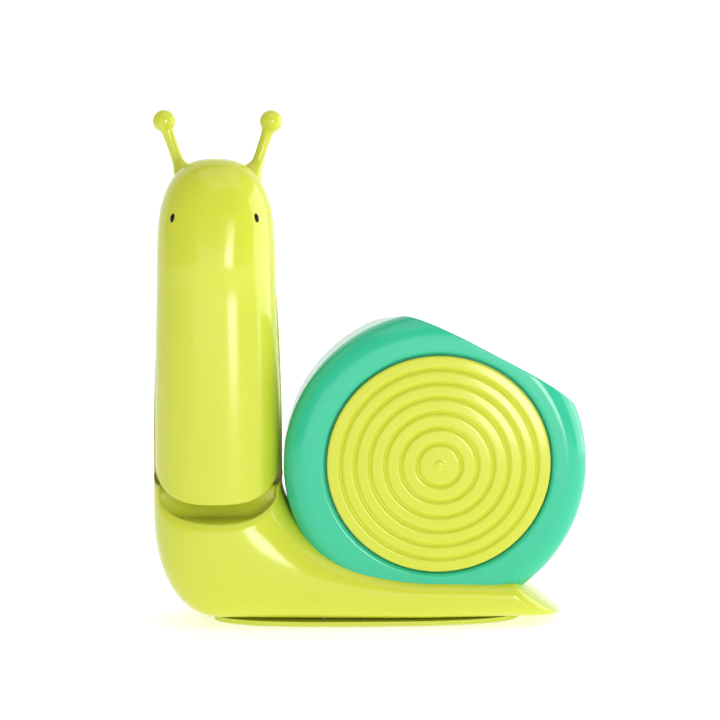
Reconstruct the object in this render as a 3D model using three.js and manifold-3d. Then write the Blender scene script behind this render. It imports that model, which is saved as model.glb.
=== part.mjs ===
// Snail-shaped tape dispenser whose upright neck is a small stapler.
// Millimetres. +X runs from the neck to the tail, +Y away from the front, +Z up; the origin is on the
// ground under the middle of the object.

import * as THREE from 'three';
import { mergeVertices } from 'three/addons/utils/BufferGeometryUtils.js';
import Module from 'manifold-3d';

const wasm = await Module();
wasm.setup();

// ---------------------------------------------------------------- driving dimensions

const GAP = 0.3;                 // clearance between neighbouring mouldings
const RUN_GAP = 0.12;            // radial clearance of a turning or sliding fit
const WALL = 2.2;                // body and shell wall
const COVER_WALL = 2.0;          // wall of the moulded head cover

// The upright neck and its domed head.
const NECK_X = -40.3;            // axis of the neck
const NECK_HALF_WIDTH = 17.3;
const NECK_TAPER = 1.2;          // how much narrower each side is at the head than at the foot
const NECK_FOOT_Z = 40;          // the taper starts here
const HEAD_Z = 100;              // the dome starts here
const HEAD_TOP_Z = 124.1;        // crown of the head cover
const BACK_TOP_DROP = 1.2;       // the neck's back is this much lower than the cover
const DOME_POWER = 2.7;          // squareness of the dome seen from the front
const NECK_POWER = 2.25;         // squareness of the neck seen from above
const NECK_FRONT = 16.2;         // depth of the head cover in front of the middle plane
const NECK_BACK = 17.3;          // depth of the neck's back behind it
const MUZZLE_RISE = 1.3;
const MUZZLE_Z = 98.5;
const MUZZLE_SPREAD = 4.2;

// The foot, which the neck bends into.
const BELLY_Z = 30;              // the belly starts to curve in below this height
const BELLY_POWER = 2.2;
const BEND_Z = 38;               // the inside of the bend starts below this height
const BEND_END_X = 18.6;
const BEND_POWER = 1.8;
const FOOT_TOP_Z = 13;
const FOOT_HALF_DEPTH = 16.5;
const FOOT_POWER = 3.6;          // squareness of the foot seen along it
const TAIL_START_X = 38.5;
const TAIL_TIP_X = 52.2;
const TAIL_TIP_Z = 2.2;
const TAIL_POWER = 2.8;          // squareness where the tail starts

// The sole.
const PAD_THICKNESS = 0.4;
const SOLE_THICKNESS = 1.2;
const SOLE_INSET = 2.2;          // from the foot's flank
const SOLE_FRONT_INSET = 1.5;    // how far the sole reaches past the neck's axis
const SOLE_TAIL_INSET = 11;
const SOLE_BOTTOM_Z = PAD_THICKNESS + 0.1;
const SOLE_TOP_Z = SOLE_BOTTOM_Z + SOLE_THICKNESS;
const BODY_BOTTOM_Z = SOLE_TOP_Z + 0.2;
const BODY_LOW_Z = BODY_BOTTOM_Z - 0.3;   // the rounded skin runs on to here and is cut off flat

// The teal shell, which holds the tape.
const SHELL_STANDOFF = 40.8;     // from the neck's side to the shell's axis
const SHELL_FROM_NECK = NECK_HALF_WIDTH + SHELL_STANDOFF;
const SHELL_X = NECK_X + SHELL_FROM_NECK;
const SHELL_Z = 43.0;
const SHELL_RADIUS = 40.4;
const SHELL_HALF_DEPTH = 14.2;
const SHELL_EDGE_RADIUS = 6.5;
const SHELL_SEAM_Y = 9.5;        // the back cover of the shell starts behind this plane
const CUT_ANGLE = THREE.MathUtils.degToRad(27.75);   // slope of the tape opening
const CUT_LEAN = 0.293;          // the far side of the opening is this much lower per millimetre of depth
const CUT_DISTANCE = 29.0;       // from the shell's centre to the opening, at the middle plane

// The ringed side cap.
const CAP_FROM_SHELL = 0.5;      // the cap's centre is this far behind the shell's
const CAP_X = SHELL_X + CAP_FROM_SHELL;
const CAP_Z = 43.7;
const CAP_RADIUS = 29.5;
const CAP_OVAL = 0.97;           // height over width
const CAP_EDGE_Y = 14.5;         // the cap's rim stands this far in front of the middle plane
const CAP_RISE = 1.7;            // and its middle this much further
const CAP_THICKNESS = 1.8;
const CAP_GROOVE_DEPTH = 0.55;
const CAP_GROOVES = 6;
const CAP_SKIRT = 2.4;           // how far the ring behind the cap reaches in
const SKIRT_INSET = 0.9;
const SKIRT_WALL = 1.2;
const CAP_SLIT = 0.45;           // the gap round the cap
const LIP_RADIUS = 1.3;

// The tape.
const TAPE_WIDTH = 19;
const TAPE_RADIUS = 27;
const CORE_BORE_RADIUS = 12.7;
const CORE_WALL = 1.5;
const SPINDLE_RADIUS = 5.0;
const LEAD_THICKNESS = 0.3;

// The stapler in the neck.
const PIN_Y = -9.8;
const PIN_Z = 37.2;
const PIN_RADIUS = 1.5;
const COVER_EDGE_Y = -3.5;       // the cover's back edge
const COVER_BOTTOM_Z = 33.4;
const COVER_CORNER = 14;         // rise of the cover's lower edge from its middle to its sides
const RECESS_Z = 28.4;           // lowest point of the lip under the cover
const RECESS_RISE = 15;          // rise of the lip from its middle to its sides
const MAG_HALF_WIDTH = 5.3;
const MAG_BACK_Y = 4.0;
const MAG_DEPTH = 8.0;
const MAG_TOP_Z = 112.4;
const MAG_WALL = 0.8;
const STAPLE_Z = 109.2;          // the end of the staple strip and of its rail
const STRIP_LENGTH = 25;
const MOUTH = 4.5;               // paper gap between the magazine and the anvil
const ANVIL_THICKNESS = 1.2;
const FRAME_THICKNESS = 1.0;
const FRAME_HALF_WIDTH = 7.5;
const FRAME_LOW_Z = 34.5;
const FRAME_HIGH_Z = 113.5;
const FRAME_EYE_RADIUS = 2.8;    // the ears' round ends about the pin
const EAR_THICKNESS = 1.2;
const JAW_FOOT_Z = 50;           // the jaws part above this height
const JAW_FOOT_Y = 0.15;
const JAW_TOP_Y = 9.8;
const ROUND = 20;                // sides of a small round piece

const LIME = { color: 0xd2db51, roughness: 0.22, metalness: 0 };
const LIME_OLIVE = { color: 0xb4bc3a, roughness: 0.4, metalness: 0 };
const TEAL = { color: 0x3fc18d, roughness: 0.22, metalness: 0 };
const BLACK = { color: 0x22211c, roughness: 0.3, metalness: 0 };
const RUBBER = { color: 0x3a3a38, roughness: 0.85, metalness: 0 };
const STEEL = { color: 0xb9bcc0, roughness: 0.3, metalness: 1 };
const SPRING_STEEL = { color: 0x8f9296, roughness: 0.35, metalness: 1 };
const CARD = { color: 0xc7a97e, roughness: 0.9, metalness: 0 };
const TAPE = { color: 0xe6dfb8, roughness: 0.25, metalness: 0 };
const GREY = { color: 0xd9dad6, roughness: 0.5, metalness: 0 };

// ---------------------------------------------------------------- shape helpers

const model = new THREE.Group();

function add(name, geometry, look) {
  const mesh = new THREE.Mesh(geometry, new THREE.MeshStandardMaterial(look));
  mesh.name = name;
  model.add(mesh);
}

function toSolid(geometry) {
  const bare = geometry.clone();
  bare.deleteAttribute('normal');
  bare.deleteAttribute('uv');
  const merged = mergeVertices(bare, 1e-4);
  const solid = new wasm.Mesh({
    numProp: 3,
    vertProperties: new Float32Array(merged.attributes.position.array),
    triVerts: new Uint32Array(merged.index.array),
  });
  return new wasm.Manifold(solid);
}

function toGeometry(solid) {
  const mesh = solid.getMesh();
  const geometry = new THREE.BufferGeometry();
  geometry.setAttribute('position', new THREE.BufferAttribute(mesh.vertProperties, 3));
  geometry.setIndex(new THREE.BufferAttribute(mesh.triVerts, 1));
  return geometry;
}

function addSolid(name, solid, look) {
  add(name, toGeometry(solid), look);
}

const box = (x0, x1, y0, y1, z0, z1) => new THREE.BoxGeometry(x1 - x0, y1 - y0, z1 - z0)
  .translate((x0 + x1) / 2, (y0 + y1) / 2, (z0 + z1) / 2);

// A round rod along x, y or z from one place to another.
function rod(axis, radius, from, to, centre, sides = ROUND) {
  const geometry = new THREE.CylinderGeometry(radius, radius, to - from, sides);
  geometry.translate(0, (from + to) / 2, 0);
  if (axis === 'x') geometry.rotateZ(-Math.PI / 2);
  if (axis === 'z') geometry.rotateX(Math.PI / 2);
  const [a, b] = centre;
  if (axis === 'x') return geometry.translate(0, a, b);
  if (axis === 'y') return geometry.translate(a, 0, b);
  return geometry.translate(a, b, 0);
}

// A turned piece about an axis along y; the profile holds [radius, y] pairs, along the y axis upwards
// first, so that the faces point out.
function turned(profile, x, z, sides, oval = 1) {
  const points = profile.map(([r, y]) => new THREE.Vector2(r, y));
  return new THREE.LatheGeometry(points, sides).scale(1, 1, oval).translate(x, 0, z);
}

// A turned piece about a vertical axis; the profile holds [radius, z] pairs.
function turnedUp(profile, x, y, sides = ROUND) {
  const points = profile.map(([r, z]) => new THREE.Vector2(r, z));
  return new THREE.LatheGeometry(points, sides).rotateX(Math.PI / 2).translate(x, y, 0);
}

// A flat outline pushed along y; its points are [x, z].
function slabY(outline, y0, y1) {
  const shape = new THREE.Shape(outline.map(([x, z]) => new THREE.Vector2(x, z)));
  const geometry = new THREE.ExtrudeGeometry(shape, { depth: y1 - y0, bevelEnabled: false });
  return geometry.rotateX(Math.PI / 2).translate(0, y1, 0);
}

// A flat outline pushed along x; its points are [y, z].
function slabX(outline, x0, x1) {
  const shape = new THREE.Shape(outline.map(([y, z]) => new THREE.Vector2(y, z)));
  const geometry = new THREE.ExtrudeGeometry(shape, { depth: x1 - x0, bevelEnabled: false });
  return geometry.rotateX(Math.PI / 2).rotateZ(Math.PI / 2).translate(x0, 0, 0);
}

// A flat outline pushed upwards; its points are [x, y].
function slabZ(outline, z0, z1) {
  const shape = new THREE.Shape(outline.map(([x, y]) => new THREE.Vector2(x, y)));
  return new THREE.ExtrudeGeometry(shape, { depth: z1 - z0, bevelEnabled: false }).translate(0, 0, z0);
}

// A wire or tube of round section along a curve.
function wire(curve, radius, steps, sides = 6) {
  const section = new THREE.Shape();
  section.absarc(0, 0, radius, 0, 2 * Math.PI);
  return new THREE.ExtrudeGeometry(section, {
    steps, curveSegments: sides / 2, extrudePath: curve, bevelEnabled: false,
  });
}

// Signed power, the building block of a superellipse.
const bulge = (value, power) => Math.sign(value) * Math.abs(value) ** (2 / power);

// A closed skin through a row of rings: the first and the last ring are single points.
function skin(rings, sides, ringPoint) {
  const geometry = new THREE.SphereGeometry(1, sides, rings.length - 1);
  const position = geometry.attributes.position;
  const point = new THREE.Vector3();
  for (let row = 0; row < rings.length; row += 1) {
    for (let side = 0; side <= sides; side += 1) {
      ringPoint(rings[row], (side % sides) * 2 * Math.PI / sides, point);
      position.setXYZ(row * (sides + 1) + side, point.x, point.y, point.z);
    }
  }
  return geometry;
}

// ---------------------------------------------------------------- the neck and the foot

function neckHalfWidth(z) {
  const climb = THREE.MathUtils.clamp((z - NECK_FOOT_Z) / (HEAD_Z - NECK_FOOT_Z), 0, 1);
  return NECK_HALF_WIDTH - NECK_TAPER * climb ** 2 - 0.05 * Math.max(0, z - HEAD_Z);
}

// Rings of the dome, from the crown down; backPower makes the dome fuller from front to back.
function domeRings(top, inset, depth, depthPower) {
  const rings = [];
  const count = 6;
  for (let k = 0; k <= count; k += 1) {
    const turn = k / count * Math.PI / 2;
    const lift = bulge(Math.cos(turn), DOME_POWER);
    const spread = bulge(Math.sin(turn), DOME_POWER);
    const deep = Math.max(0, 1 - lift ** depthPower) ** (1 / depthPower);
    const z = HEAD_Z + (top - inset - HEAD_Z) * lift;
    const half = (neckHalfWidth(z) - inset) * spread;
    rings.push({
      inner: [NECK_X + half, z],
      outer: [NECK_X - half, z],
      depth: (depth - inset) * (k === 0 ? 0 : deep),
      power: NECK_POWER,
    });
  }
  return rings;
}

function neckRing(z, inset, depth) {
  const half = neckHalfWidth(z) - inset;
  return { inner: [NECK_X + half, z], outer: [NECK_X - half, z], depth: depth - inset, power: NECK_POWER };
}

function ringPoint(ring, turn, point) {
  const across = bulge(Math.cos(turn), ring.power);
  const deep = bulge(Math.sin(turn), ring.power);
  const [innerX, innerZ] = ring.inner;
  const [outerX, outerZ] = ring.outer;
  point.x = (innerX + outerX) / 2 - across * (innerX - outerX) / 2;
  point.z = (innerZ + outerZ) / 2 - across * (innerZ - outerZ) / 2;
  point.y = -deep * ring.depth;
}

// The whole body, neck and foot, as one solid; a positive inset makes it smaller all over.
function bodySolid(inset) {
  const rings = domeRings(HEAD_TOP_Z - BACK_TOP_DROP, inset, NECK_BACK, 4);
  for (const z of [84, 68, 54, 46]) rings.push(neckRing(z, inset, NECK_BACK));
  const bendTurns = 8;
  const innerStartX = NECK_X + NECK_HALF_WIDTH - inset;
  const bellyRadius = NECK_HALF_WIDTH - inset;
  for (let k = 0; k <= bendTurns; k += 1) {
    const share = k / bendTurns;
    const turn = share * Math.PI / 2;
    const inner = [
      BEND_END_X - (BEND_END_X - innerStartX) * bulge(Math.cos(turn), BEND_POWER),
      BEND_Z - (BEND_Z - FOOT_TOP_Z + inset) * bulge(Math.sin(turn), BEND_POWER),
    ];
    const bellyTurn = Math.min(1, 2 * share) * Math.PI / 2;
    const along = Math.max(0, 2 * share - 1) * (BEND_END_X - 4 - NECK_X);
    const outer = [
      NECK_X - bellyRadius * bulge(Math.cos(bellyTurn), BELLY_POWER) + along,
      BELLY_Z - (BELLY_Z - BODY_LOW_Z - inset) * bulge(Math.sin(bellyTurn), BELLY_POWER),
    ];
    rings.push({
      inner,
      outer,
      depth: THREE.MathUtils.lerp(NECK_BACK, FOOT_HALF_DEPTH, share) - inset,
      power: THREE.MathUtils.lerp(NECK_POWER, FOOT_POWER, share),
    });
  }
  const tailTurns = 5;
  for (const x of [(BEND_END_X + TAIL_START_X) / 2, TAIL_START_X]) {
    rings.push({
      inner: [x, FOOT_TOP_Z - inset],
      outer: [x, BODY_LOW_Z + inset],
      depth: FOOT_HALF_DEPTH - inset,
      power: THREE.MathUtils.mapLinear(x, BEND_END_X, TAIL_START_X, FOOT_POWER, TAIL_POWER),
    });
  }
  for (let k = 1; k <= tailTurns; k += 1) {
    const turn = k / tailTurns * Math.PI / 2;
    const reach = Math.sin(turn);
    const x = TAIL_START_X + (TAIL_TIP_X - inset - TAIL_START_X) * reach;
    rings.push({
      inner: [x, THREE.MathUtils.lerp(FOOT_TOP_Z - inset, TAIL_TIP_Z, reach)],
      outer: [x, k === tailTurns ? TAIL_TIP_Z : Math.min(BODY_LOW_Z + inset, TAIL_TIP_Z)],
      depth: (FOOT_HALF_DEPTH - inset) * (k === tailTurns ? 0 : Math.cos(turn)),
      power: THREE.MathUtils.lerp(TAIL_POWER, NECK_POWER, reach),
    });
  }
  return toSolid(skin(rings, 20, ringPoint));
}

// The outline of the sole seen from below, as a squarish oval.
function soleOutline(inset) {
  const ends = [NECK_X - SOLE_FRONT_INSET + inset, TAIL_TIP_X - SOLE_TAIL_INSET - inset];
  const middle = (ends[0] + ends[1]) / 2;
  const halfLength = (ends[1] - ends[0]) / 2;
  const halfDepth = FOOT_HALF_DEPTH - SOLE_INSET - inset;
  const outline = [];
  for (let k = 0; k < 32; k += 1) {
    const turn = k / 32 * 2 * Math.PI;
    outline.push([middle + halfLength * bulge(Math.cos(turn), 2.8), halfDepth * bulge(Math.sin(turn), 2.8)]);
  }
  return outline;
}

// Height of a rounded lower edge that is lowest at the middle of the neck.
function edgeHeight(x, lowest, rise, power) {
  const share = Math.min(1, Math.abs(x - NECK_X) / NECK_HALF_WIDTH);
  return lowest + rise * (1 - (1 - share ** power) ** (1 / power));
}

// Everything above such an edge, as an outline of [x, z].
function aboveEdge(lowest, rise, power) {
  const outline = [];
  const reach = NECK_HALF_WIDTH + 3;
  for (let k = 0; k <= 16; k += 1) {
    const x = NECK_X - NECK_HALF_WIDTH * Math.cos(k / 16 * Math.PI);
    outline.push([x, edgeHeight(x, lowest, rise, power)]);
  }
  outline.push([NECK_X + reach, lowest + rise]);
  outline.push([NECK_X + reach, HEAD_TOP_Z + 20]);
  outline.push([NECK_X - reach, HEAD_TOP_Z + 20]);
  outline.push([NECK_X - reach, lowest + rise]);
  return outline;
}

const FAR = 200;
const bodyOuter = bodySolid(0);
const soleOpening = toSolid(slabZ(soleOutline(WALL), -5, 6));
const frontHalf = toSolid(box(-FAR, FAR, -FAR, -GAP / 2, BODY_BOTTOM_Z, FAR));
const backHalf = toSolid(box(-FAR, FAR, GAP / 2, FAR, BODY_BOTTOM_Z, FAR));
const bodyCavity = bodySolid(WALL);

// Columns inside the foot that the sole's screws bite into, and the screws that hold the shell.
const SOLE_SCREWS = [[-12, -9, 17], [34, -6, 8.5], [-12, 9, 17], [34, 6, 8.5]];
const SHELL_SCREWS = [[SHELL_X + 19.2, -6, 10.4, 20], [SHELL_X - 19.8, 6, 13.4, 21.2]];
const SCREW_RADIUS = 1.0;
const BORE_RADIUS = SCREW_RADIUS + GAP;
const columnLimit = bodySolid(1);

function footColumns(y) {
  const [first, second] = SOLE_SCREWS.filter((screw) => Math.sign(screw[1]) === Math.sign(y))
    .map(([px, py, top]) => toSolid(rod('z', 3, BODY_BOTTOM_Z, top + 8, [px, py])));
  return first.add(second).intersect(columnLimit);
}

function footBores(y) {
  let bores = null;
  for (const [px, py, top] of SOLE_SCREWS) {
    if (Math.sign(py) !== Math.sign(y)) continue;
    const bore = toSolid(rod('z', BORE_RADIUS, -1, top, [px, py], 16));
    bores = bores ? bores.add(bore) : bore;
  }
  for (const [px, py, seat] of SHELL_SCREWS) {
    if (Math.sign(py) !== Math.sign(y)) continue;
    bores = bores.add(toSolid(rod('z', BORE_RADIUS, seat - 2, seat + 8, [px, py], 16)));
    bores = bores.add(toSolid(rod('z', 2.7, seat - 4, seat + 0.2, [px, py], 16)));
  }
  return bores;
}

// ---------------------------------------------------------------- body shells

// The cover's heel turns in a round socket about the hinge pin, open to the front at the lip.
const HEEL_CLEARANCE = 0.6;
const HEEL_REACH = Math.hypot(NECK_FRONT + PIN_Y, PIN_Z - COVER_BOTTOM_Z);

function socketSpace(wall) {
  const radius = HEEL_REACH + HEEL_CLEARANCE + wall;
  const overLip = toSolid(slabY(aboveEdge(RECESS_Z - wall, RECESS_RISE, 2.2), -FAR, FAR));
  const round = toSolid(rod('x', radius, -FAR, FAR, [PIN_Y, PIN_Z], 40));
  const slope = [
    [-NECK_FRONT - 3, RECESS_Z - wall], [-NECK_FRONT + 1, RECESS_Z - wall], [PIN_Y, PIN_Z - radius],
    [PIN_Y, FAR], [-NECK_FRONT - 3, FAR],
  ];
  const inFront = toSolid(slabX(slope, -FAR, FAR));
  const overPin = toSolid(box(-FAR, FAR, -FAR, FAR, PIN_Z - FRAME_EYE_RADIUS - GAP, FAR));
  return overLip.intersect(round.add(inFront).add(overPin));
}

const socket = socketSpace(0);
const socketOutside = socketSpace(WALL);

const bodyFront = bodyOuter.subtract(bodyCavity.subtract(socketOutside))
  .subtract(socket)
  .subtract(soleOpening)
  .add(footColumns(-1))
  .intersect(frontHalf)
  .subtract(footBores(-1));
addSolid('body_front_shell', bodyFront, LIME);

// The front edge of the neck's back leans away from the cover, so that paper goes in between them.
const jawRun = (JAW_TOP_Y - JAW_FOOT_Y) / (HEAD_TOP_Z - 6 - JAW_FOOT_Z);
const mouthOutline = [
  [-FAR, JAW_FOOT_Z],
  [JAW_FOOT_Y, JAW_FOOT_Z],
  [JAW_FOOT_Y + jawRun * (FAR - JAW_FOOT_Z), FAR],
  [-FAR, FAR],
];
const mouth = toSolid(slabX(mouthOutline, NECK_X - 30, NECK_X + 30));

const BALL_RADIUS = 3.06;
const STALK_BASE = new THREE.Vector3(7.6, 12.2, 114.0);
const STALK_TOP = new THREE.Vector3(14.5, 12.2, 134.3);
const stalkLength = STALK_TOP.distanceTo(STALK_BASE);

function antenna(side) {
  const profile = [
    new THREE.Vector2(0, 0),
    new THREE.Vector2(2.2, 0.6),
    new THREE.Vector2(2.9, 3),
    new THREE.Vector2(2.5, 5.7),
    new THREE.Vector2(1.9, 8.6),
    new THREE.Vector2(1.5, 11.5),
    new THREE.Vector2(1.4, 14),
    new THREE.Vector2(1.5, 17),
  ];
  const start = Math.asin(1.75 / BALL_RADIUS);
  for (let k = 0; k <= 7; k += 1) {
    const turn = start + (Math.PI - start) * k / 7;
    const radius = k === 7 ? 0 : BALL_RADIUS * Math.sin(turn);
    profile.push(new THREE.Vector2(radius, stalkLength - BALL_RADIUS * Math.cos(turn)));
  }
  const lean = new THREE.Quaternion().setFromUnitVectors(
    new THREE.Vector3(0, 1, 0),
    new THREE.Vector3(side * (STALK_TOP.x - STALK_BASE.x), 0, STALK_TOP.z - STALK_BASE.z).normalize(),
  );
  const geometry = new THREE.LatheGeometry(profile, 12).applyQuaternion(lean);
  return toSolid(geometry.translate(NECK_X + side * STALK_BASE.x, STALK_BASE.y, STALK_BASE.z));
}

const FRAME_FRONT_Y = MAG_BACK_Y + MOUTH + ANVIL_THICKNESS + 0.1;
const FRAME_BACK_Y = FRAME_FRONT_Y + FRAME_THICKNESS;
const FRAME_SCREW_Z = [60, 97];
const FRAME_BOSS_RADIUS = 2.8;
const [frameBosses, frameBores] = [
  [FRAME_BOSS_RADIUS, FRAME_BACK_Y + 0.1, NECK_BACK - 1, ROUND],
  [BORE_RADIUS, 0, NECK_BACK - 1.8, 16],
].map(([radius, from, to, sides]) => {
  const [low, high] = FRAME_SCREW_Z.map((z) => toSolid(rod('y', radius, from, to, [NECK_X, z], sides)));
  return low.add(high);
});

// The frame's plate lies in a flat bed in the back shell.
const frameBed = toSolid(box(
  NECK_X - FRAME_HALF_WIDTH - GAP, NECK_X + FRAME_HALF_WIDTH + GAP, 0, FRAME_BACK_Y + 0.1, BODY_BOTTOM_Z + WALL,
  FRAME_HIGH_Z + GAP,
));

const bodyBack = bodyOuter.subtract(bodyCavity)
  .subtract(soleOpening)
  .add(footColumns(1))
  .add(frameBosses)
  .add(antenna(-1))
  .add(antenna(1))
  .intersect(backHalf)
  .subtract(mouth)
  .subtract(frameBed)
  .subtract(footBores(1))
  .subtract(frameBores);
addSolid('body_back_shell', bodyBack, LIME);

// ---------------------------------------------------------------- sole, pad, weight and their screws

let sole = toSolid(slabZ(soleOutline(0), SOLE_BOTTOM_Z, SOLE_TOP_Z));
let pad = toSolid(slabZ(soleOutline(2.2), 0, PAD_THICKNESS));
for (const [x, y] of SOLE_SCREWS) {
  const sink = [
    [0, SOLE_BOTTOM_Z - 0.1], [2.7, SOLE_BOTTOM_Z - 0.1], [2.6, SOLE_BOTTOM_Z],
    [1.5, SOLE_TOP_Z], [1.5, SOLE_TOP_Z + 0.2], [0, SOLE_TOP_Z + 0.2],
  ];
  sole = sole.subtract(toSolid(turnedUp(sink, x, y)));
  pad = pad.subtract(toSolid(rod('z', 3.2, -1, 1, [x, y])));
}
addSolid('sole_plate', sole, LIME_OLIVE);
addSolid('grip_pad', pad, RUBBER);

SOLE_SCREWS.forEach(([x, y, top], index) => {
  const profile = [
    [0, SOLE_BOTTOM_Z], [2.4, SOLE_BOTTOM_Z], [1.25, SOLE_TOP_Z], [SCREW_RADIUS, SOLE_TOP_Z + 0.1],
    [SCREW_RADIUS, top - 2], [0, top - 1],
  ];
  add(`sole_screw_${index + 1}`, turnedUp(profile, x, y, 12), STEEL);
});
SHELL_SCREWS.forEach(([x, y, seat, tip], index) => {
  const profile = [
    [0, seat - 1.4], [2.2, seat - 1.4], [2.2, seat - 0.2], [SCREW_RADIUS, seat - 0.2],
    [SCREW_RADIUS, tip - 1], [0, tip],
  ];
  add(`shell_screw_${index + 1}`, turnedUp(profile, x, y, 12), STEEL);
});

const WEIGHT_ENDS = [-8, 30];
const WEIGHT_HALF_DEPTH = FOOT_HALF_DEPTH - WALL - 4.5;
const WEIGHT_CORNER = 3;
const weightOutline = [];
for (const [side, end] of [[-1, 0], [-1, 1], [1, 1], [1, 0]]) {
  const inX = end === 0 ? WEIGHT_CORNER : -WEIGHT_CORNER;
  const corner = new THREE.Vector2(WEIGHT_ENDS[end], side * (WEIGHT_HALF_DEPTH - WEIGHT_CORNER));
  const flank = new THREE.Vector2(WEIGHT_ENDS[end] + inX, side * WEIGHT_HALF_DEPTH);
  const cornerFirst = side === -1 ? end === 0 : end === 1;
  weightOutline.push(...(cornerFirst ? [corner, flank] : [flank, corner]));
}
const weightDepth = FOOT_TOP_Z - WALL - 2 - SOLE_TOP_Z;
const weight = new THREE.ExtrudeGeometry(
  new THREE.Shape(weightOutline), { depth: weightDepth, bevelEnabled: false },
);
add('ballast_weight', weight.translate(0, 0, SOLE_TOP_Z + 0.2), STEEL);

// ---------------------------------------------------------------- the teal shell

// A drum about the shell's axis with rounded edges, as [radius, y] pairs.
function drumProfile(radius, front, back, edge) {
  const profile = [[0, front]];
  const steps = 4;
  for (let k = 0; k <= steps; k += 1) {
    const turn = k / steps * Math.PI / 2;
    profile.push([radius - edge + edge * Math.sin(turn), front + edge - edge * Math.cos(turn)]);
  }
  for (let k = 0; k <= steps; k += 1) {
    const turn = k / steps * Math.PI / 2;
    profile.push([radius - edge + edge * Math.cos(turn), back - edge + edge * Math.sin(turn)]);
  }
  profile.push([0, back]);
  return profile;
}

// Places a shape drawn as [along the opening, y, out of the opening] on the shell's slanted opening.
const onOpening = (geometry) => geometry.rotateY(CUT_ANGLE).translate(SHELL_X, 0, SHELL_Z);

const openingNormal = new THREE.Vector3(Math.sin(CUT_ANGLE), CUT_LEAN, Math.cos(CUT_ANGLE)).normalize();
const openingSide = new THREE.BoxGeometry(FAR, FAR, 80).translate(0, 0, 40)
  .applyQuaternion(new THREE.Quaternion().setFromUnitVectors(new THREE.Vector3(0, 0, 1), openingNormal))
  .translate(
    SHELL_X + CUT_DISTANCE * Math.sin(CUT_ANGLE), 0, SHELL_Z + CUT_DISTANCE * Math.cos(CUT_ANGLE),
  );
const openingCut = toSolid(openingSide);

const DRUM_SIDES = 40;
const innerFront = -SHELL_HALF_DEPTH + WALL;
const innerBack = SHELL_HALF_DEPTH - WALL + 0.2;
const drumOuter = toSolid(turned(
  drumProfile(SHELL_RADIUS, -SHELL_HALF_DEPTH, SHELL_HALF_DEPTH, SHELL_EDGE_RADIUS),
  SHELL_X, SHELL_Z, DRUM_SIDES,
));
const drumInner = toSolid(turned(
  drumProfile(SHELL_RADIUS - WALL, innerFront, innerBack, SHELL_EDGE_RADIUS - WALL),
  SHELL_X, SHELL_Z, DRUM_SIDES,
));
const saddle = bodySolid(-GAP);
const floorLine = bodySolid(-GAP - WALL);

// The round opening for the side cap, with a rounded lip.
const holeRadius = CAP_RADIUS + CAP_SLIT;
const lipProfile = [[0, innerFront + 1], [holeRadius, innerFront + 1]];
for (let k = 0; k <= 4; k += 1) {
  const turn = k / 4 * Math.PI / 2;
  lipProfile.push([
    holeRadius + LIP_RADIUS * (1 - Math.cos(turn)),
    -SHELL_HALF_DEPTH + LIP_RADIUS * (1 - Math.sin(turn)),
  ]);
}
lipProfile.push([holeRadius + LIP_RADIUS, -SHELL_HALF_DEPTH - 1]);
lipProfile.push([0, -SHELL_HALF_DEPTH - 1]);
const capHole = toSolid(turned([...lipProfile].reverse(), CAP_X, CAP_Z, DRUM_SIDES, CAP_OVAL));

// Posts at the rim take the screws of the shell's back.
const POST_ANGLES = [120, 200, 330];
const POST_INSET = 4.2;
const BOSS_RADIUS = 2.8;
const COUNTERBORE_RADIUS = 2.4;
const COUNTERBORE_DEPTH = 2.2;
const BACK_SCREW_HEAD_RADIUS = 2.1;
const BACK_SCREW_HEAD_HEIGHT = 1.3;
const POST_REACH = SHELL_RADIUS - POST_INSET;
const postPlace = (angle) => {
  const turn = THREE.MathUtils.degToRad(angle);
  return [SHELL_X + POST_REACH * Math.cos(turn), SHELL_Z + POST_REACH * Math.sin(turn)];
};
let drum = drumOuter.subtract(drumInner.subtract(floorLine)).subtract(saddle);
let posts = null;
let postBores = null;
let counterbores = null;
for (const angle of POST_ANGLES) {
  const place = postPlace(angle);
  const post = toSolid(rod('y', BOSS_RADIUS, -8, SHELL_HALF_DEPTH - 1, place));
  const bore = toSolid(rod('y', BORE_RADIUS, -6, SHELL_HALF_DEPTH + 1, place, 16));
  const counterboreFloor = SHELL_HALF_DEPTH - COUNTERBORE_DEPTH;
  const counterbore = toSolid(rod('y', COUNTERBORE_RADIUS, counterboreFloor, SHELL_HALF_DEPTH + 2, place));
  posts = posts ? posts.add(post) : post;
  postBores = postBores ? postBores.add(bore) : bore;
  counterbores = counterbores ? counterbores.add(counterbore) : counterbore;
}
drum = drum.add(posts.intersect(drumOuter).subtract(saddle));

// Bosses on the shell's floor take the screws that come up out of the foot.
let footBosses = null;
let footBossBores = null;
for (const [x, y, seat, tip] of SHELL_SCREWS) {
  const boss = toSolid(rod('z', BOSS_RADIUS, seat - 2, tip + 1.2, [x, y])).subtract(saddle);
  const bore = toSolid(rod('z', BORE_RADIUS, seat - 3, tip + 0.3, [x, y], 16));
  footBosses = footBosses ? footBosses.add(boss) : boss;
  footBossBores = footBossBores ? footBossBores.add(bore) : bore;
}
drum = drum.add(footBosses).subtract(footBossBores);

// Ribs under the cutter's bar, one beside each wall.
const BAR = { from: 18.4, to: 22.6, low: 22.5, high: 27.7 };
const BAR_END_GAP = 1.2;          // clears the rounded inner corners of the shell
const ribs = toSolid(onOpening(box(22.2, 33.6, -10, -7.4, 18.6, BAR.low - 0.2)))
  .add(toSolid(onOpening(box(22.2, 33.6, 7.4, SHELL_SEAM_Y - 0.1, 18.6, BAR.low - 0.2))));
drum = drum.add(ribs).subtract(openingCut).subtract(postBores).subtract(counterbores);

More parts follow.
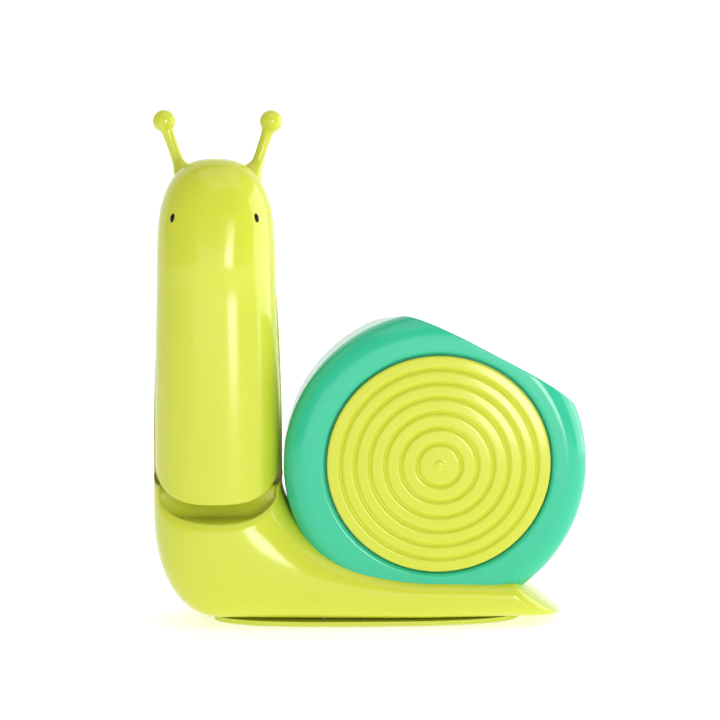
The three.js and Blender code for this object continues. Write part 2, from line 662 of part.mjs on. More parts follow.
// A ledge behind the cap's rim stops the cap and closes the slit round it.
const capBack = -CAP_EDGE_Y + CAP_THICKNESS;
const LEDGE_THICKNESS = 1.2;
const ledgeFront = capBack + GAP;
const ledgeProfile = [
  [CAP_RADIUS - SKIRT_INSET + GAP, ledgeFront], [CAP_RADIUS + 2, ledgeFront],
  [CAP_RADIUS + 2, ledgeFront + LEDGE_THICKNESS],
  [CAP_RADIUS - SKIRT_INSET + GAP, ledgeFront + LEDGE_THICKNESS],
  [CAP_RADIUS - SKIRT_INSET + GAP, ledgeFront],
];
const ledge = toSolid(turned(ledgeProfile, CAP_X, CAP_Z, DRUM_SIDES, CAP_OVAL)).intersect(drumOuter);
const drumFront = drum.intersect(toSolid(box(-FAR, FAR, -FAR, SHELL_SEAM_Y, 0, FAR)))
  .subtract(capHole)
  .add(ledge.subtract(openingCut).subtract(saddle));
addSolid('shell_drum', drumFront, TEAL);

const spindlePlace = [CAP_X, CAP_Z];
const spindleHole = toSolid(rod('y', BORE_RADIUS, 0, 30, spindlePlace, 16));
const drumBack = drum.intersect(toSolid(box(-FAR, FAR, SHELL_SEAM_Y + 0.2, FAR, 0, FAR)))
  .subtract(spindleHole);
addSolid('shell_back', drumBack, TEAL);

POST_ANGLES.forEach((angle, index) => {
  const [x, z] = postPlace(angle);
  const head = SHELL_HALF_DEPTH - COUNTERBORE_DEPTH + 0.1;
  const top = head + BACK_SCREW_HEAD_HEIGHT;
  const profile = [
    [0, -4], [SCREW_RADIUS, -3], [SCREW_RADIUS, head], [BACK_SCREW_HEAD_RADIUS, head],
    [BACK_SCREW_HEAD_RADIUS, top], [0, top],
  ];
  add(`back_screw_${index + 1}`, turned(profile, x, z, 12), STEEL);
});

// ---------------------------------------------------------------- side cap

const capCrown = CAP_EDGE_Y + CAP_RISE;
const domeFront = (radius) => -(CAP_EDGE_Y + CAP_RISE * (1 - (radius / CAP_RADIUS) ** 2));
// Grooves get a little closer together towards the rim.
const grooveRadius = (number) => 1.35 + 4.52 * number - 0.07 * number ** 2;
const GROOVE_HALF_WIDTH = 0.55;
const capProfile = [[0, -capCrown - 0.5], [1.2, -capCrown - 0.35], [1.9, -capCrown + 0.15]];
for (let number = 1; number <= CAP_GROOVES; number += 1) {
  const groove = grooveRadius(number);
  const before = number === 1 ? 3.4 : (groove + grooveRadius(number - 1)) / 2;
  capProfile.push([before, domeFront(before) - 0.12]);
  capProfile.push([groove - GROOVE_HALF_WIDTH, domeFront(groove)]);
  capProfile.push([groove, domeFront(groove) + CAP_GROOVE_DEPTH]);
  capProfile.push([groove + GROOVE_HALF_WIDTH, domeFront(groove)]);
}
capProfile.push([CAP_RADIUS - 1.4, domeFront(CAP_RADIUS - 1.4) - 0.1]);
capProfile.push([CAP_RADIUS - 0.3, domeFront(CAP_RADIUS) + 0.15]);
capProfile.push([CAP_RADIUS, domeFront(CAP_RADIUS) + 0.6]);
const skirtOuter = CAP_RADIUS - SKIRT_INSET;
capProfile.push([CAP_RADIUS, capBack]);
capProfile.push([skirtOuter, capBack]);
capProfile.push([skirtOuter, capBack + CAP_SKIRT]);
capProfile.push([skirtOuter - SKIRT_WALL, capBack + CAP_SKIRT]);
capProfile.push([skirtOuter - SKIRT_WALL, capBack]);
capProfile.push([0, capBack - 0.6]);
add('side_cap', turned(capProfile, CAP_X, CAP_Z, 30, CAP_OVAL), LIME);

// ---------------------------------------------------------------- spindle, hub, core and tape

const halfTape = TAPE_WIDTH / 2;
const spindleBack = innerBack - 0.2;
const spindleProfile = [
  [0, -halfTape + 0.4], [SPINDLE_RADIUS - 0.8, -halfTape + 0.4], [SPINDLE_RADIUS, -halfTape + 1.2],
  [SPINDLE_RADIUS, spindleBack - 1.2], [8.5, spindleBack - 1.2], [8.5, spindleBack],
  [BORE_RADIUS, spindleBack], [BORE_RADIUS, 3], [0, 3],
];
add('reel_spindle', turned(spindleProfile, CAP_X, CAP_Z, ROUND), GREY);
const spindleScrew = [
  [0, 5], [SCREW_RADIUS, 5.6], [SCREW_RADIUS, SHELL_HALF_DEPTH + 0.2], [2.6, SHELL_HALF_DEPTH + 0.2],
  [2.2, SHELL_HALF_DEPTH + 1.3], [0, SHELL_HALF_DEPTH + 1.5],
];
add('spindle_screw', turned(spindleScrew, CAP_X, CAP_Z, 12), STEEL);

const hubBore = SPINDLE_RADIUS + RUN_GAP;
const hubOuter = CORE_BORE_RADIUS - GAP;
const hubProfile = [
  [hubBore, -halfTape], [hubBore + 1.7, -halfTape], [hubBore + 1.7, -1], [hubOuter - 1.5, -1],
  [hubOuter - 1.5, -halfTape], [hubOuter, -halfTape], [hubOuter, halfTape], [hubOuter - 1.5, halfTape],
  [hubOuter - 1.5, 1], [hubBore + 1.7, 1], [hubBore + 1.7, halfTape], [hubBore, halfTape],
  [hubBore, -halfTape],
];
add('reel_hub', turned(hubProfile, CAP_X, CAP_Z, ROUND), GREY);

const ring = (inner, outer, half) => [
  [inner, -half], [outer, -half], [outer, half], [inner, half], [inner, -half],
];
const coreOuter = CORE_BORE_RADIUS + CORE_WALL;
add('tape_core', turned(ring(CORE_BORE_RADIUS, coreOuter, halfTape), CAP_X, CAP_Z, 32), CARD);
add('tape_roll', turned(ring(coreOuter + 0.1, TAPE_RADIUS, halfTape), CAP_X, CAP_Z, 48), TAPE);

// The lead runs off the top of the roll, along the opening, and over the bar to the blade.
const rollAlong = (CAP_X - SHELL_X) * Math.cos(CUT_ANGLE) - (CAP_Z - SHELL_Z) * Math.sin(CUT_ANGLE);
const rollOut = (CAP_X - SHELL_X) * Math.sin(CUT_ANGLE) + (CAP_Z - SHELL_Z) * Math.cos(CUT_ANGLE);
const leadLow = rollOut + TAPE_RADIUS + 0.1;
const BLADE_AT = BAR.to + 0.2;
const BLADE_THICKNESS = 0.6;
add('tape_lead', onOpening(
  box(rollAlong, BLADE_AT - 0.1, -halfTape, halfTape, leadLow, leadLow + LEAD_THICKNESS),
), TAPE);

const barOutline = [
  [BAR.from, BAR.low], [BAR.to, BAR.low], [BAR.to, BAR.high], [BAR.from + 0.8, BAR.high],
  [BAR.from, BAR.high - 0.8],
];
add('cutter_bar', onOpening(slabY(barOutline, capBack + CAP_SKIRT + GAP, innerBack - BAR_END_GAP)), GREY);

// The blade's upper edge is a row of teeth.
const TOOTH_PITCH = 1.25;
const TOOTH_HEIGHT = 0.9;
const BLADE_LOW = BAR.low + 0.1;
const BLADE_HIGH = 29.7;
const bladeHalf = halfTape + 0.4;
const bladeOutline = [[bladeHalf, BLADE_LOW], [-bladeHalf, BLADE_LOW]];
for (let y = -bladeHalf; y <= bladeHalf - TOOTH_PITCH / 2; y += TOOTH_PITCH) {
  bladeOutline.push([y, BLADE_HIGH - TOOTH_HEIGHT]);
  bladeOutline.push([y + TOOTH_PITCH / 2, BLADE_HIGH]);
}
bladeOutline.push([bladeHalf, BLADE_HIGH - TOOTH_HEIGHT]);
add('cutter_blade', onOpening(slabX(bladeOutline.reverse(), BLADE_AT, BLADE_AT + BLADE_THICKNESS)), STEEL);

// ---------------------------------------------------------------- the stapler's frame in the neck

const PIN_REACH = 11.2;          // half the length of the pin
const pinHole = toSolid(rod(
  'x', PIN_RADIUS + RUN_GAP, NECK_X - PIN_REACH - GAP, NECK_X + PIN_REACH + GAP, [PIN_Y, PIN_Z],
));

// A plate of a hinge: a round eye at the pin, joined to a root edge at the given y.
function eyeOutline(radius, rootY, rootLow, rootHigh) {
  const outline = [];
  const towards = Math.sign(rootY - PIN_Y);
  for (let k = 0; k <= 8; k += 1) {
    const turn = Math.PI / 2 + k / 8 * Math.PI;
    outline.push([PIN_Y + towards * radius * Math.cos(turn), PIN_Z + radius * Math.sin(turn)]);
  }
  outline.push([rootY, rootLow]);
  outline.push([rootY, rootHigh]);
  return towards > 0 ? outline : outline.reverse();
}

function twoPlates(outline, near, far) {
  return toSolid(slabX(outline, NECK_X + near, NECK_X + far))
    .add(toSolid(slabX(outline, NECK_X - far, NECK_X - near)));
}

const frameEarInner = FRAME_HALF_WIDTH - EAR_THICKNESS;
let frame = toSolid(box(
  NECK_X - FRAME_HALF_WIDTH, NECK_X + FRAME_HALF_WIDTH, FRAME_FRONT_Y, FRAME_BACK_Y, FRAME_LOW_Z, FRAME_HIGH_Z,
));
const frameEye = eyeOutline(FRAME_EYE_RADIUS, FRAME_BACK_Y, FRAME_LOW_Z, 48);
frame = frame.add(twoPlates(frameEye, frameEarInner, FRAME_HALF_WIDTH));
frame = frame.subtract(pinHole);
for (const z of FRAME_SCREW_Z) frame = frame.subtract(toSolid(rod('y', 1.4, 0, 20, [NECK_X, z], 16)));
addSolid('stapler_frame', frame, STEEL);

FRAME_SCREW_Z.forEach((z, index) => {
  const head = FRAME_FRONT_Y - 0.1;
  const profile = [
    [0, head - 1.1], [1.8, head - 1.0], [2.2, head], [SCREW_RADIUS, head], [SCREW_RADIUS, 14.2], [0, 14.8],
  ];
  add(`frame_screw_${index + 1}`, turned(profile, NECK_X, z, 12), STEEL);
});

const anvilBack = FRAME_FRONT_Y - 0.1;
const anvilFront = anvilBack - ANVIL_THICKNESS;
const ANVIL_LOW_Z = 101.5;
let anvil = toSolid(box(NECK_X - 5.5, NECK_X + 5.5, anvilFront, anvilBack, ANVIL_LOW_Z, FRAME_HIGH_Z));
for (const side of [-1, 1]) {
  const groove = rod('x', 1.2, 1.0, 4.4, [anvilFront - 0.5, STAPLE_Z]).translate(NECK_X, 0, 0);
  const mirrored = side < 0 ? rod('x', 1.2, -4.4, -1.0, [anvilFront - 0.5, STAPLE_Z]).translate(NECK_X, 0, 0)
    : groove;
  anvil = anvil.subtract(toSolid(mirrored));
}
addSolid('anvil_plate', anvil, STEEL);

add('hinge_pin', rod('x', PIN_RADIUS, NECK_X - PIN_REACH, NECK_X + PIN_REACH, [PIN_Y, PIN_Z]), STEEL);

// A coil about a straight line, with a chosen number of turns.
class Coil extends THREE.Curve {
  constructor(start, direction, radius, turns) {
    super();
    this.start = start;
    this.direction = direction;
    this.radius = radius;
    this.turns = turns;
    this.side = new THREE.Vector3(direction.z, direction.x, direction.y).normalize();
    this.up = new THREE.Vector3().crossVectors(direction, this.side).normalize();
  }

  getPoint(share, target = new THREE.Vector3()) {
    const turn = share * this.turns * 2 * Math.PI;
    return target.copy(this.start)
      .addScaledVector(this.direction, share)
      .addScaledVector(this.side, this.radius * Math.cos(turn))
      .addScaledVector(this.up, this.radius * Math.sin(turn));
  }
}

const TORSION_TURNS = 5;
const torsion = new Coil(
  new THREE.Vector3(NECK_X - 3.6, PIN_Y, PIN_Z), new THREE.Vector3(7.2, 0, 0), 2.4, TORSION_TURNS,
);
add('jaw_spring', wire(torsion, 0.35, TORSION_TURNS * 9), SPRING_STEEL);

// ---------------------------------------------------------------- magazine, staples and pusher

const MAG_BOTTOM_Z = 46;
const magFront = MAG_BACK_Y - MAG_DEPTH;
const magInner = MAG_HALF_WIDTH - MAG_WALL;
let magazine = toSolid(box(
  NECK_X - MAG_HALF_WIDTH, NECK_X + MAG_HALF_WIDTH, magFront, MAG_BACK_Y, MAG_BOTTOM_Z, MAG_TOP_Z,
));
magazine = magazine.subtract(toSolid(box(
  NECK_X - magInner, NECK_X + magInner, magFront - 5, MAG_BACK_Y - MAG_WALL,
  MAG_BOTTOM_Z + MAG_WALL, MAG_TOP_Z - MAG_WALL,
)));
// The slot that a staple leaves by.
magazine = magazine.subtract(toSolid(box(
  NECK_X - 4.4, NECK_X + 4.4, MAG_BACK_Y - 2, MAG_BACK_Y + 2, STAPLE_Z + 0.1, MAG_TOP_Z - MAG_WALL,
)));
const magEars = twoPlates(
  [...eyeOutline(2.8, MAG_BACK_Y, MAG_BOTTOM_Z - 4, MAG_BOTTOM_Z + 10)], magInner, MAG_HALF_WIDTH,
);
magazine = magazine.add(magEars).subtract(pinHole);
addSolid('magazine_channel', magazine, STEEL);

// A length of channel along z: a back at the given y, two sides and nothing in front or behind.
function channelOutline(half, wall, openY, closedY) {
  const towards = Math.sign(closedY - openY);
  const inside = closedY - towards * wall;
  const outline = [
    [NECK_X - half, openY], [NECK_X - half + wall, openY], [NECK_X - half + wall, inside],
    [NECK_X + half - wall, inside], [NECK_X + half - wall, openY], [NECK_X + half, openY],
    [NECK_X + half, closedY], [NECK_X - half, closedY],
  ];
  return outline;
}

const RAIL_HALF = 3.4;
const railBack = MAG_BACK_Y - MAG_WALL - GAP;
const railFront = magFront + 2.2;
add('staple_rail', slabZ(
  channelOutline(RAIL_HALF, MAG_WALL, railFront, railBack), MAG_BOTTOM_Z + MAG_WALL + 0.2, STAPLE_Z,
), STEEL);

const STAPLE_WIRE = 0.5;
const stapleHalf = RAIL_HALF + GAP + STAPLE_WIRE;
const stapleFront = railFront - GAP - STAPLE_WIRE;
const stapleBack = stapleFront + 5;
add('staple_strip', slabZ(
  channelOutline(stapleHalf, STAPLE_WIRE, stapleBack, stapleFront), STAPLE_Z - STRIP_LENGTH, STAPLE_Z,
), STEEL);

const ROD_Y = (railFront + railBack - MAG_WALL) / 2;
const ROD_RADIUS = 0.7;
const pusherTop = STAPLE_Z - STRIP_LENGTH - 0.3;
const PUSHER_LENGTH = 5.4;
let pusher = toSolid(slabZ(
  channelOutline(stapleHalf, STAPLE_WIRE, stapleBack, stapleFront), pusherTop - PUSHER_LENGTH, pusherTop,
));
pusher = pusher.add(toSolid(box(
  NECK_X - 2.2, NECK_X + 2.2, stapleFront + 0.1, ROD_Y + 1.6, pusherTop - PUSHER_LENGTH, pusherTop,
)));
pusher = pusher.add(toSolid(box(
  NECK_X - 1, NECK_X + 1, stapleFront - 1, stapleFront + 0.1, pusherTop - 4, pusherTop - 2,
)));
pusher = pusher.subtract(toSolid(rod('z', ROD_RADIUS + RUN_GAP, 0, FAR, [NECK_X, ROD_Y], 16)));
addSolid('staple_pusher', pusher, STEEL);

const rodLow = MAG_BOTTOM_Z + MAG_WALL + 0.3;
add('pusher_rod', rod('z', ROD_RADIUS, rodLow, pusherTop + 2, [NECK_X, ROD_Y], 16), STEEL);

const PUSHER_TURNS = 10;
const springEnd = pusherTop - PUSHER_LENGTH - 0.5;
const pusherCoil = new Coil(
  new THREE.Vector3(NECK_X, ROD_Y, rodLow + 0.4), new THREE.Vector3(0, 0, springEnd - rodLow - 0.4),
  1.35, PUSHER_TURNS,
);
add('pusher_spring', wire(pusherCoil, 0.22, PUSHER_TURNS * 8), SPRING_STEEL);

// ---------------------------------------------------------------- the head cover

// Rings of the cover: the dome, then the neck down to below its lower edge.
function coverSolid(inset) {
  const rings = domeRings(HEAD_TOP_Z, inset, NECK_FRONT, DOME_POWER);
  for (const z of [96.5, 93.5, 90, 80, 68, 56, 46, 38, 28]) rings.push(neckRing(z, inset, NECK_FRONT));
  const last = rings[rings.length - 1];
  rings.push({ inner: [NECK_X, last.inner[1]], outer: [NECK_X, last.inner[1]], depth: 0, power: NECK_POWER });
  const withMuzzle = (ring, turn, point) => {
    ringPoint(ring, turn, point);
    if (point.y > 0) return;
    const height = (point.z - MUZZLE_Z) / MUZZLE_SPREAD;
    const across = (point.x - NECK_X) / NECK_HALF_WIDTH;
    point.y -= MUZZLE_RISE * Math.exp(-(height ** 2)) * Math.max(0, 1 - across ** 2) ** 2;
  };
  return toSolid(skin(rings, 24, withMuzzle));
}

const coverSide = toSolid(slabY(aboveEdge(COVER_BOTTOM_Z, COVER_CORNER, 3), -FAR, COVER_EDGE_Y));
const coverOuter = coverSolid(0).intersect(coverSide);
const coverEars = twoPlates(eyeOutline(3, -NECK_FRONT, PIN_Z - 4, PIN_Z + 8), 8.3, 10.4);
const coverShell = coverOuter.subtract(coverSolid(COVER_WALL))
  .add(coverEars.intersect(coverSolid(0.8)).intersect(coverSide))
  .subtract(pinHole);

// The eyes are plugs pressed into dimples on either side of the face.
const EYE = { across: 11.06, z: 108.2, halfWidth: 0.72, depth: 0.9, halfHeight: 1.25, lean: 0.17 };
function eyeSolid(side, grow) {
  const half = neckHalfWidth(EYE.z) * 0.98;
  const share = (EYE.across / half) ** NECK_POWER;
  const y = -NECK_FRONT * 0.98 * (1 - share) ** (1 / NECK_POWER);
  const outX = (EYE.across / half) ** (NECK_POWER - 1) / half;
  const outY = (-y / NECK_FRONT) ** (NECK_POWER - 1) / NECK_FRONT;
  const turn = Math.atan2(outX, outY);
  const eye = new THREE.SphereGeometry(1, 10, 6)
    .scale(EYE.halfWidth + grow, EYE.depth + grow, EYE.halfHeight + grow)
    .rotateY(-side * EYE.lean)
    .rotateZ(side * turn);
  const sunk = EYE.depth - 0.45;
  return toSolid(eye.translate(
    NECK_X + side * (EYE.across - sunk * Math.sin(turn)), y + sunk * Math.cos(turn), EYE.z,
  ));
}

addSolid('head_cover', coverShell.subtract(eyeSolid(-1, RUN_GAP)).subtract(eyeSolid(1, RUN_GAP)), LIME);
addSolid('eye_left', eyeSolid(-1, 0), BLACK);
addSolid('eye_right', eyeSolid(1, 0), BLACK);

const CARRIER_FRONT_Y = -12.2;
const BLADE_LOW_Z = STAPLE_Z + 1.4;
add('driver_carrier', box(
  NECK_X - 4.5, NECK_X + 4.5, CARRIER_FRONT_Y, CARRIER_FRONT_Y + 1, 72, BLADE_LOW_Z + 0.9,
), SPRING_STEEL);
add('driver_blade', box(
  NECK_X - 4.1, NECK_X + 4.1, CARRIER_FRONT_Y + 1.1, stapleFront - 0.4, BLADE_LOW_Z, BLADE_LOW_Z + 0.6,
), STEEL);

export default model;
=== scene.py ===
"""Looks of a snail-shaped desk tape dispenser whose upright neck is a small stapler.

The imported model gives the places. Each class below builds the smooth, thin-walled mouldings of one
sub-assembly in millimetres, and gives them and the metal pieces inside their finishes.
"""

import logging
import math
from collections.abc import Callable, Sequence
from dataclasses import dataclass, field
from enum import Enum

import bmesh
import bpy
import numpy as np
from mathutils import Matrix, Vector


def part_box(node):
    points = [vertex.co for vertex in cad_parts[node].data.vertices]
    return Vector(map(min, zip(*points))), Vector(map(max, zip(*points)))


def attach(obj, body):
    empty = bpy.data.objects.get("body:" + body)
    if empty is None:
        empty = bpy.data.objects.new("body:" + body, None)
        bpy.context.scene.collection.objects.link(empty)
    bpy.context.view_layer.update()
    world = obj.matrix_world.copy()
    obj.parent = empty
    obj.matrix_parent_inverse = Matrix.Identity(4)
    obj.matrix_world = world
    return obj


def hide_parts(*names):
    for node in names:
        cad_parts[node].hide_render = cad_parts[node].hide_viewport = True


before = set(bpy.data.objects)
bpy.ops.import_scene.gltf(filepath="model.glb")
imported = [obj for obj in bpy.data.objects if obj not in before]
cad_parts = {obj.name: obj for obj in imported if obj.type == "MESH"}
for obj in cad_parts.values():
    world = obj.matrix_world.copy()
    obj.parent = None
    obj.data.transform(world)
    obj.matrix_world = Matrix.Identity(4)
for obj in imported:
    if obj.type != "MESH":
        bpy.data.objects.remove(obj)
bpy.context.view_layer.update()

MM = 0.001
LOG = logging.getLogger("snail_dispenser")


# ------------------------------------------------------------------ finishes


def linear(hex_colour: str) -> tuple[float, float, float, float]:
    """Turns an sRGB hex colour into a linear RGBA colour.

    Args:
        hex_colour: Six hex digits, with or without a leading hash.

    Returns:
        Linear red, green and blue with an alpha of one.
    """
    digits = hex_colour.lstrip("#")
    channels = [int(digits[k:k + 2], 16) / 255 for k in (0, 2, 4)]
    red, green, blue = (c / 12.92 if c <= 0.04045 else ((c + 0.055) / 1.055) ** 2.4 for c in channels)
    return red, green, blue, 1.0


def add_node(
    material: bpy.types.Material,
    kind: str,
    settings: dict[str, object] | None = None,
    inputs: dict[str | int, object] | None = None,
) -> bpy.types.Node:
    """Adds one shader node with its settings, values and links.

    Args:
        material: The material whose tree gets the node.
        kind: The node's type name.
        settings: Attributes of the node.
        inputs: Values for the node's inputs; an output socket given here is linked.

    Returns:
        The new node.
    """
    node = material.node_tree.nodes.new(kind)
    for name, value in (settings or {}).items():
        setattr(node, name, value)
    for name, value in (inputs or {}).items():
        if isinstance(value, bpy.types.NodeSocket):
            material.node_tree.links.new(value, node.inputs[name])
        else:
            node.inputs[name].default_value = value
    return node


class Grain(Enum):
    """How a pattern is stretched along the piece."""

    EVEN = (1.0, 1.0, 1.0)
    UPRIGHT = (1.0, 1.0, 0.06)
    ALONG_X = (0.06, 1.0, 1.0)


@dataclass(frozen=True)
class Finish:
    """A finish with colour drift, a fine surface texture and uneven gloss.

    Attributes:
        name: The material and how its surface was made.
        colour: Main sRGB colour.
        shade: sRGB colour that the main one drifts to.
        roughness: Lowest and highest roughness.
        drift_mm: Size of the slow colour patches.
        texture_mm: Size of the surface texture's cells.
        relief_mm: Height of the surface texture.
        metallic: One for bare metal.
        ior: Index of refraction; metals keep the default.
        coat: Weight of a clear glossy layer.
        transmission: How much light goes through.
        grain: Direction of the texture.
    """

    name: str
    colour: str
    shade: str
    roughness: tuple[float, float]
    drift_mm: float = 30.0
    texture_mm: float = 1.2
    relief_mm: float = 0.004
    metallic: float = 0.0
    ior: float = 1.5
    coat: float = 0.0
    transmission: float = 0.0
    subsurface: float = 0.0
    grain: Grain = Grain.EVEN

    def material(self) -> bpy.types.Material:
        """Makes the material once and hands the same one out afterwards."""
        known = bpy.data.materials.get(self.name)
        return known if known else self.build()

    def build(self) -> bpy.types.Material:
        """Builds the shader.

        Returns:
            The new material.
        """
        material = bpy.data.materials.new(self.name)
        material.use_nodes = True
        material.node_tree.nodes.clear()
        place = add_node(material, "ShaderNodeTexCoord")
        stretched = add_node(
            material, "ShaderNodeMapping",
            inputs={"Vector": place.outputs["Object"], "Scale": self.grain.value},
        )
        patches = add_node(
            material, "ShaderNodeTexNoise",
            inputs={"Vector": place.outputs["Object"], "Scale": 1 / (self.drift_mm * MM), "Detail": 3.0},
        )
        colours = add_node(
            material, "ShaderNodeMix", {"data_type": "RGBA"},
            {0: patches.outputs["Fac"], 6: linear(self.colour), 7: linear(self.shade)},
        )
        texture = add_node(
            material, "ShaderNodeTexNoise",
            inputs={
                "Vector": stretched.outputs["Vector"], "Scale": 1 / (self.texture_mm * MM), "Detail": 4.0,
            },
        )
        gloss = add_node(
            material, "ShaderNodeMapRange",
            inputs={"Value": self.gloss_map(material, texture), "To Min": self.roughness[0],
                    "To Max": self.roughness[1]},
        )
        relief = add_node(
            material, "ShaderNodeBump",
            inputs={"Height": self.relief_map(material, texture), "Distance": self.relief_mm * MM,
                    "Strength": 1.0},
        )
        shader = add_node(
            material, "ShaderNodeBsdfPrincipled",
            inputs={
                "Base Color": self.colour_map(material, colours.outputs[2]),
                "Roughness": gloss.outputs["Result"],
                "Normal": relief.outputs["Normal"],
                "Metallic": self.metallic,
                "IOR": self.ior,
                "Coat Weight": self.coat,
                "Transmission Weight": self.transmission,
                "Subsurface Weight": self.subsurface,
                "Subsurface Scale": 0.002,
            },
        )
        add_node(material, "ShaderNodeOutputMaterial", inputs={"Surface": shader.outputs["BSDF"]})
        return material

    def gloss_map(self, material: bpy.types.Material, texture: bpy.types.Node) -> bpy.types.NodeSocket:
        """Gives the socket that the gloss follows."""
        return texture.outputs["Fac"]

    def relief_map(self, material: bpy.types.Material, texture: bpy.types.Node) -> bpy.types.NodeSocket:
        """Gives the socket that the relief follows."""
        return texture.outputs["Fac"]

    def colour_map(self, material: bpy.types.Material, base: bpy.types.NodeSocket) -> bpy.types.NodeSocket:
        """Gives the socket of the finished colour."""
        return base


@dataclass(frozen=True)
class WoundFinish(Finish):
    """A finish with fine rings about an axis along y, for wound film and card.

    Attributes:
        centre: Where the axis stands, as x and z in metres.
        ring_mm: Distance between neighbouring rings.
        ring_shade: sRGB colour of the lines between the rings.
    """

    centre: tuple[float, float] = (0.0, 0.0)
    ring_mm: float = 0.9
    ring_shade: str = "c9bd86"

    def rings(self, material: bpy.types.Material) -> bpy.types.NodeSocket:
        """Makes the ring pattern and gives its socket."""
        place = add_node(material, "ShaderNodeTexCoord")
        centred = add_node(
            material, "ShaderNodeMapping",
            inputs={"Vector": place.outputs["Object"], "Location": (-self.centre[0], 0.0, -self.centre[1])},
        )
        # A ring wave has twenty radians to each unit of its scale.
        wave = add_node(
            material, "ShaderNodeTexWave",
            {"wave_type": "RINGS", "rings_direction": "Y"},
            {"Vector": centred.outputs["Vector"], "Scale": math.pi / (10 * self.ring_mm * MM),
             "Distortion": 0.6, "Detail": 2.0},
        )
        return wave.outputs["Fac"]

    def relief_map(self, material: bpy.types.Material, texture: bpy.types.Node) -> bpy.types.NodeSocket:
        """Gives the rings as relief."""
        return self.rings(material)

    def colour_map(self, material: bpy.types.Material, base: bpy.types.NodeSocket) -> bpy.types.NodeSocket:
        """Draws the rings over the base colour."""
        lines = add_node(
            material, "ShaderNodeMapRange",
            inputs={
                "Value": self.rings(material), "From Min": 0.0, "From Max": 0.5, "To Min": 0.6, "To Max": 0.0,
            },
        )
        mixed = add_node(
            material, "ShaderNodeMix", {"data_type": "RGBA"},
            {0: lines.outputs["Result"], 6: base, 7: linear(self.ring_shade)},
        )
        return mixed.outputs[2]


# Glossy injection-moulded ABS: polished tools leave a wet-looking skin with a very faint ripple.
LIME_ABS = Finish(
    "lime_moulded_abs", "d6dc42", "d0d73a", (0.12, 0.2), drift_mm=40, texture_mm=2.4, relief_mm=0.003,
    ior=1.53, subsurface=0.06,
)
TEAL_ABS = Finish(
    "teal_moulded_abs", "34c59b", "2fc193", (0.12, 0.2), drift_mm=40, texture_mm=2.4, relief_mm=0.003,
    ior=1.53, subsurface=0.04,
)
# Satin moulded ABS of the sole: spark-eroded tool texture breaks the highlight up.
OLIVE_ABS = Finish(
    "olive_textured_abs", "d3da4a", "cbd344", (0.34, 0.46), texture_mm=0.5, relief_mm=0.01, ior=1.53,
)
# Black ABS plugs: small and highly polished, so each holds one clear highlight.
BLACK_ABS = Finish(
    "black_moulded_abs", "0b0a08", "100f0d", (0.1, 0.18), texture_mm=1.0, relief_mm=0.001, ior=1.28,
)
# Natural acetal: waxy off-white with a soft sheen.
WHITE_ACETAL = Finish(
    "natural_moulded_acetal", "d9dad4", "cfd0c9", (0.34, 0.5), texture_mm=1.5, relief_mm=0.004, ior=1.48,
    subsurface=0.1,
)
# Cold-rolled steel strip, nickel plated: rolling lines run along the strip.
ROLLED_STEEL = Finish(
    "nickel_plated_rolled_steel", "b9bbbd", "a6a8ab", (0.2, 0.36), drift_mm=12, texture_mm=0.5,
    relief_mm=0.003, metallic=1.0, grain=Grain.UPRIGHT,
)
# Turned and zinc-plated screws: bright with a slightly cloudy plating.
ZINC_STEEL = Finish(
    "zinc_plated_steel", "c2c5c8", "aeb2b7", (0.24, 0.38), drift_mm=3, texture_mm=0.4, relief_mm=0.004,
    metallic=1.0,
)
# Oil-tempered spring wire: darker than plate, smooth along the wire.
SPRING_WIRE = Finish(
    "oil_tempered_spring_steel", "7d8085", "686b70", (0.26, 0.4), drift_mm=4, texture_mm=0.3, relief_mm=0.002,
    metallic=1.0,
)
# Hardened blade strip, ground: fine grinding lines along its length.
GROUND_STEEL = Finish(
    "ground_blade_steel", "c9ccd0", "b4b7bc", (0.16, 0.3), drift_mm=8, texture_mm=0.35, relief_mm=0.003,
    metallic=1.0, grain=Grain.ALONG_X,
)
# Cast ballast: grey iron with a sandy skin.
CAST_IRON = Finish(
    "sand_cast_iron", "55575a", "45474a", (0.55, 0.75), drift_mm=6, texture_mm=0.7, relief_mm=0.05,
    metallic=1.0,
)
# Die-cut rubber sheet: dull, with the fine weave of its press cloth.
SHEET_RUBBER = Finish(
    "die_cut_sheet_rubber", "343432", "3e3e3b", (0.78, 0.92), drift_mm=10, texture_mm=0.45, relief_mm=0.03,
    ior=1.52,
)
# Cast film over glue: clear, faintly yellow, with a soft shine.
CLEAR_FILM = Finish(
    "clear_adhesive_film", "f3efd2", "eee9c4", (0.08, 0.16), drift_mm=8, texture_mm=3.0, relief_mm=0.004,
    ior=1.49, transmission=0.8,
)


# ------------------------------------------------------------------ mesh making


def bulge(value: np.ndarray | float, power: np.ndarray | float) -> np.ndarray:
    """Raises a value to two over the power and keeps its sign, as a superellipse needs."""
    return np.sign(value) * np.abs(value) ** (2 / power)


def unit(vectors: np.ndarray) -> np.ndarray:
    """Scales vectors to a length of one."""
    return vectors / np.maximum(np.linalg.norm(vectors, axis=-1, keepdims=True), 1e-9)


def grid_normals(grid: np.ndarray, periodic: bool) -> np.ndarray:
    """Works out a grid's normals from its neighbours.

    Args:
        grid: Points, as rows by columns by three.
        periodic: Whether the last column meets the first.

    Returns:
        Unit normals of the same shape.
    """
    down = np.gradient(grid, axis=0)
    if periodic:
        across = np.roll(grid, -1, axis=1) - np.roll(grid, 1, axis=1)
    else:
        across = np.gradient(grid, axis=1)
    return unit(np.cross(down, across))


